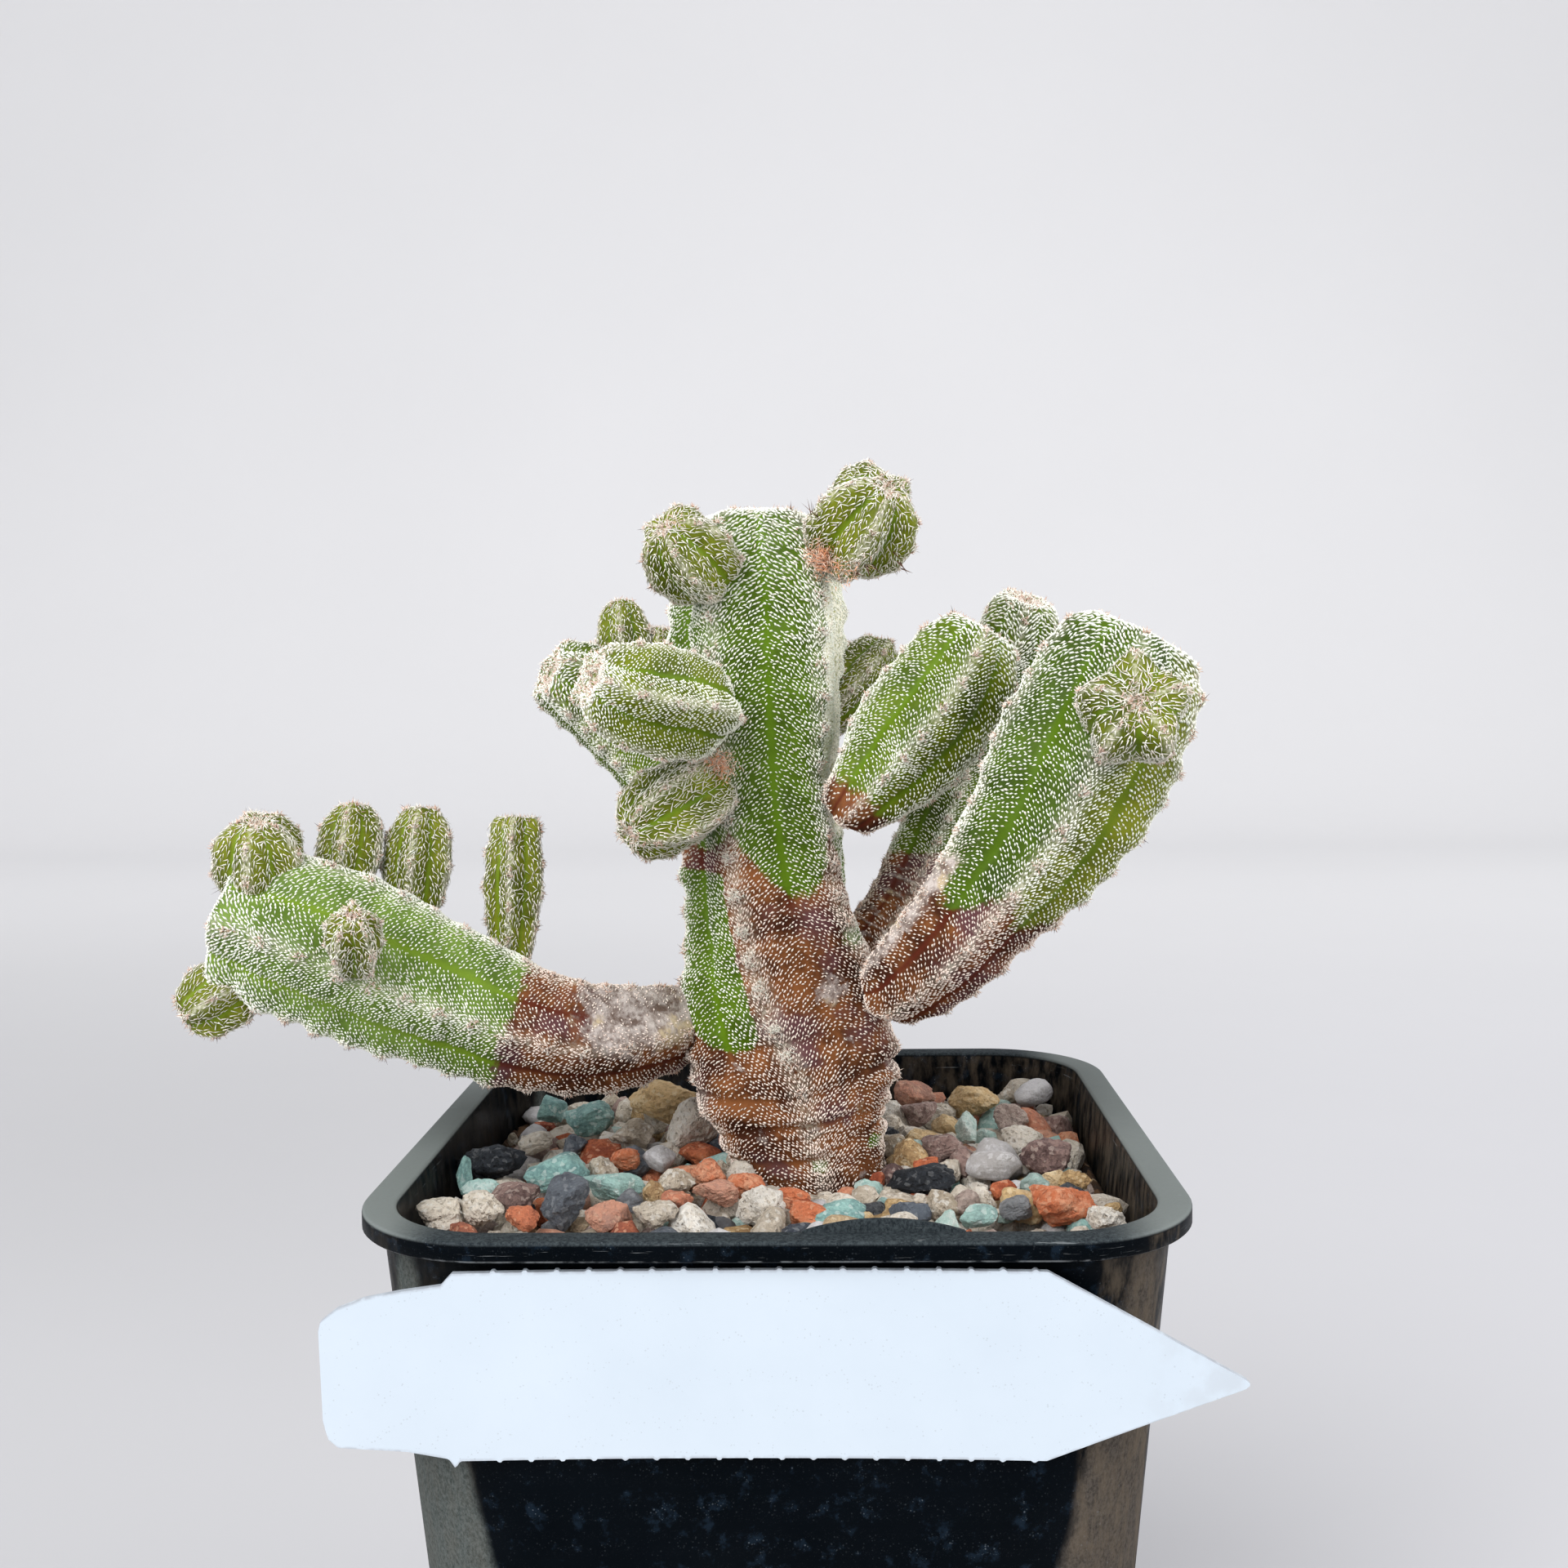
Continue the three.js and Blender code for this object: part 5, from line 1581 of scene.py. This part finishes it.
def build_label_mesh():
    """A grid across and down the label, front and back, joined round its edge and bowed by the
    square of the distance from its middle. Its mark is 1 along the long edges."""
    x = np.concatenate([
        np.linspace(-35.7, -24.5, 60), np.arange(-24.4, 21.8, 0.12), np.linspace(21.9, 37.2, 60)
    ])
    top, low = label_edges(x)
    down = np.array([0, 0.018, 0.5, 0.982, 1])[:, None]
    height = top + (low - top) * down
    across = np.broadcast_to(x, height.shape)
    forward = -(label_bow / MM) * (across * MM / label_half_length) ** 2
    back = np.stack([across, forward, height], -1)
    front = back - [0, label_thickness / MM, 0]
    rows, columns = height.shape
    points = np.concatenate([front.reshape(-1, 3), back.reshape(-1, 3)]) * MM
    lean = math.atan(wall_taper)
    y, z = points[:, 1].copy(), points[:, 2].copy()
    points[:, 1] = y * math.cos(lean) - z * math.sin(lean) - (wall_half_width + label_gap)
    points[:, 2] = y * math.sin(lean) + z * math.cos(lean) + rim_height
    face = grid_faces(rows, columns)
    count = rows * columns
    rim_line = np.concatenate([
        np.arange(columns), np.arange(1, rows) * columns + columns - 1,
        (rows - 1) * columns + np.arange(columns - 2, -1, -1), np.arange(rows - 2, 0, -1) * columns,
    ])
    after = np.roll(rim_line, -1)
    edge = np.concatenate([
        np.stack([rim_line, after, after + count], -1),
        np.stack([rim_line, after + count, rim_line + count], -1),
    ])
    border = np.tile(np.repeat(np.abs(2 * down[:, 0] - 1) > 0.99, columns), 2) * 1.0
    return points, np.concatenate([face[:, ::-1], face + count, edge]), border


def build_label_finish():
    """White polystyrene with a blue cast, dusty, painted a little grey at its point as painted shade
    and along its edges as a painted shadow line.
    """
    material, tree, shader, at = start_material("label_white", roughness=0.38, specular=0.45)
    clouds = noise(tree, at, 110.0, 5.0, 0.6)
    colour = coat_over(tree, clouds, paint(186, 197, 207), paint(195, 205, 214))
    specks, film = dust(tree, at, 4200.0, 0.3)
    place = add(tree, "ShaderNodeSeparateXYZ", {0: at})
    # Painted shade: the pointed right end is painted a little grey.
    tinted = fade(tree, place.outputs["X"], 0.026, 0.037)
    grey = times(tree, tinted, fade(tree, noise(tree, at, 420.0, 5.0), 0.4, 0.62))
    colour = coat_over(tree, times(tree, grey, 0.2), colour, paint(150, 146, 146))
    colour = coat_over(tree, times(tree, film, 0.22), colour, paint(178, 188, 200))
    colour = coat_over(tree, times(tree, specks, 0.22), colour, paint(120, 124, 128))
    # Painted shadow: a thin grey line along the long edges, broken by noise.
    edge_painted_shadow = times(tree, mark_on(tree, "border"), fade(tree, noise(tree, at, 900.0), 0.3, 0.6))
    colour = coat_over(tree, times(tree, edge_painted_shadow, 0.5), colour, paint(128, 128, 134))
    tree.links.new(colour, shader.inputs["Base Color"])
    rough = plus(tree, 0.32, times(tree, clouds, 0.16))
    tree.links.new(rough, shader.inputs["Roughness"])
    raise_surface(tree, shader, clouds, 0.15, 0.0002)
    return material


label_points, label_faces, label_border = build_label_mesh()
label = put_in_scene("label_strip", label_points, label_faces, smooth=False, border=label_border)
fit_to_pot(label, build_label_finish(), "label")


# Studio. A pale seamless sweep under and behind the pot, lit by an even white surround and three
# soft lights, at the upper left, the right and low on the left, as under a diffusing tent.
def build_sweep():
    """A floor that turns up into a backdrop: flat, then a quarter circle, then upright."""
    bend = 0.5
    back = 1.1
    turn = np.linspace(0, math.pi / 2, 25)
    y = np.concatenate([[-1.6, -0.4, 0.2], back + bend * np.sin(turn), [back + bend]])
    z = np.concatenate([[0, 0, 0], bend * (1 - np.cos(turn)), [3.2]])
    x = np.linspace(-2.6, 2.6, 9)
    grid_y, grid_x = np.meshgrid(y, x, indexing="ij")
    grid_z = np.broadcast_to(z[:, None], grid_y.shape)
    points = np.stack([grid_x, grid_y, grid_z - 0.1 * MM], -1)
    return points, grid_faces(*grid_y.shape)


def build_sweep_paper():
    """Matt paper with a faint mottle. Painted shade makes the floor greyer than the whiter back,
    and greyer at the left than at the right.
    """
    material, tree, shader, at = start_material("sweep_paper", 0.9, 0.1)
    mottle = noise(tree, at, 2.6, 5.0, 0.6)
    # Painted shade: the floor is painted greyer than the backdrop, and greyer at the left.
    left = coat_over(tree, mottle, paint(182, 182, 184), paint(190, 190, 192))
    right = coat_over(tree, mottle, paint(194, 194, 197), paint(202, 202, 205))
    wall = coat_over(tree, mottle, paint(230, 230, 231), paint(236, 236, 237))
    place = add(tree, "ShaderNodeSeparateXYZ", {0: at})
    floor = coat_over(tree, fade(tree, place.outputs["X"], -0.2, 0.2), left, right)
    tone = coat_over(tree, fade(tree, place.outputs["Y"], 0.18, 0.95), floor, wall)
    tree.links.new(tone, shader.inputs["Base Color"])
    return material


sweep = put_in_scene("sweep", *build_sweep())
sweep.data.materials.append(build_sweep_paper())

surround = bpy.data.worlds.new("soft_surround")
surround.use_nodes = True
surround.node_tree.nodes["Background"].inputs["Color"].default_value = paint(250, 250, 253)
surround.node_tree.nodes["Background"].inputs["Strength"].default_value = 0.77
bpy.context.scene.world = surround


def soft_light(name, place, aim, size, power):
    """A square soft light at a place, turned to face an aim point."""
    data = bpy.data.lights.new(name, "AREA")
    data.size = size
    data.energy = power
    made = bpy.data.objects.new(name, data)
    bpy.context.scene.collection.objects.link(made)
    back = np.array(place) - np.array(aim)
    x = np.cross([0, 0, 1], back)
    y = np.cross(back, x)
    made.matrix_world = Matrix(
        np.column_stack([unit(x), unit(y), unit(back), place]).tolist() + [[0, 0, 0, 1]]
    )


soft_light("key_light", (-0.35, -0.7, 0.8), (0, 0, 0.1), 0.6, 8.6)
soft_light("fill_light", (1.0, -0.2, 0.5), (0, 0, 0.1), 0.8, 8.0)
soft_light("low_light", (-0.7, -0.6, 0.3), (0, 0, 0.08), 0.5, 3.2)
bpy.context.scene.view_settings.view_transform = "Standard"
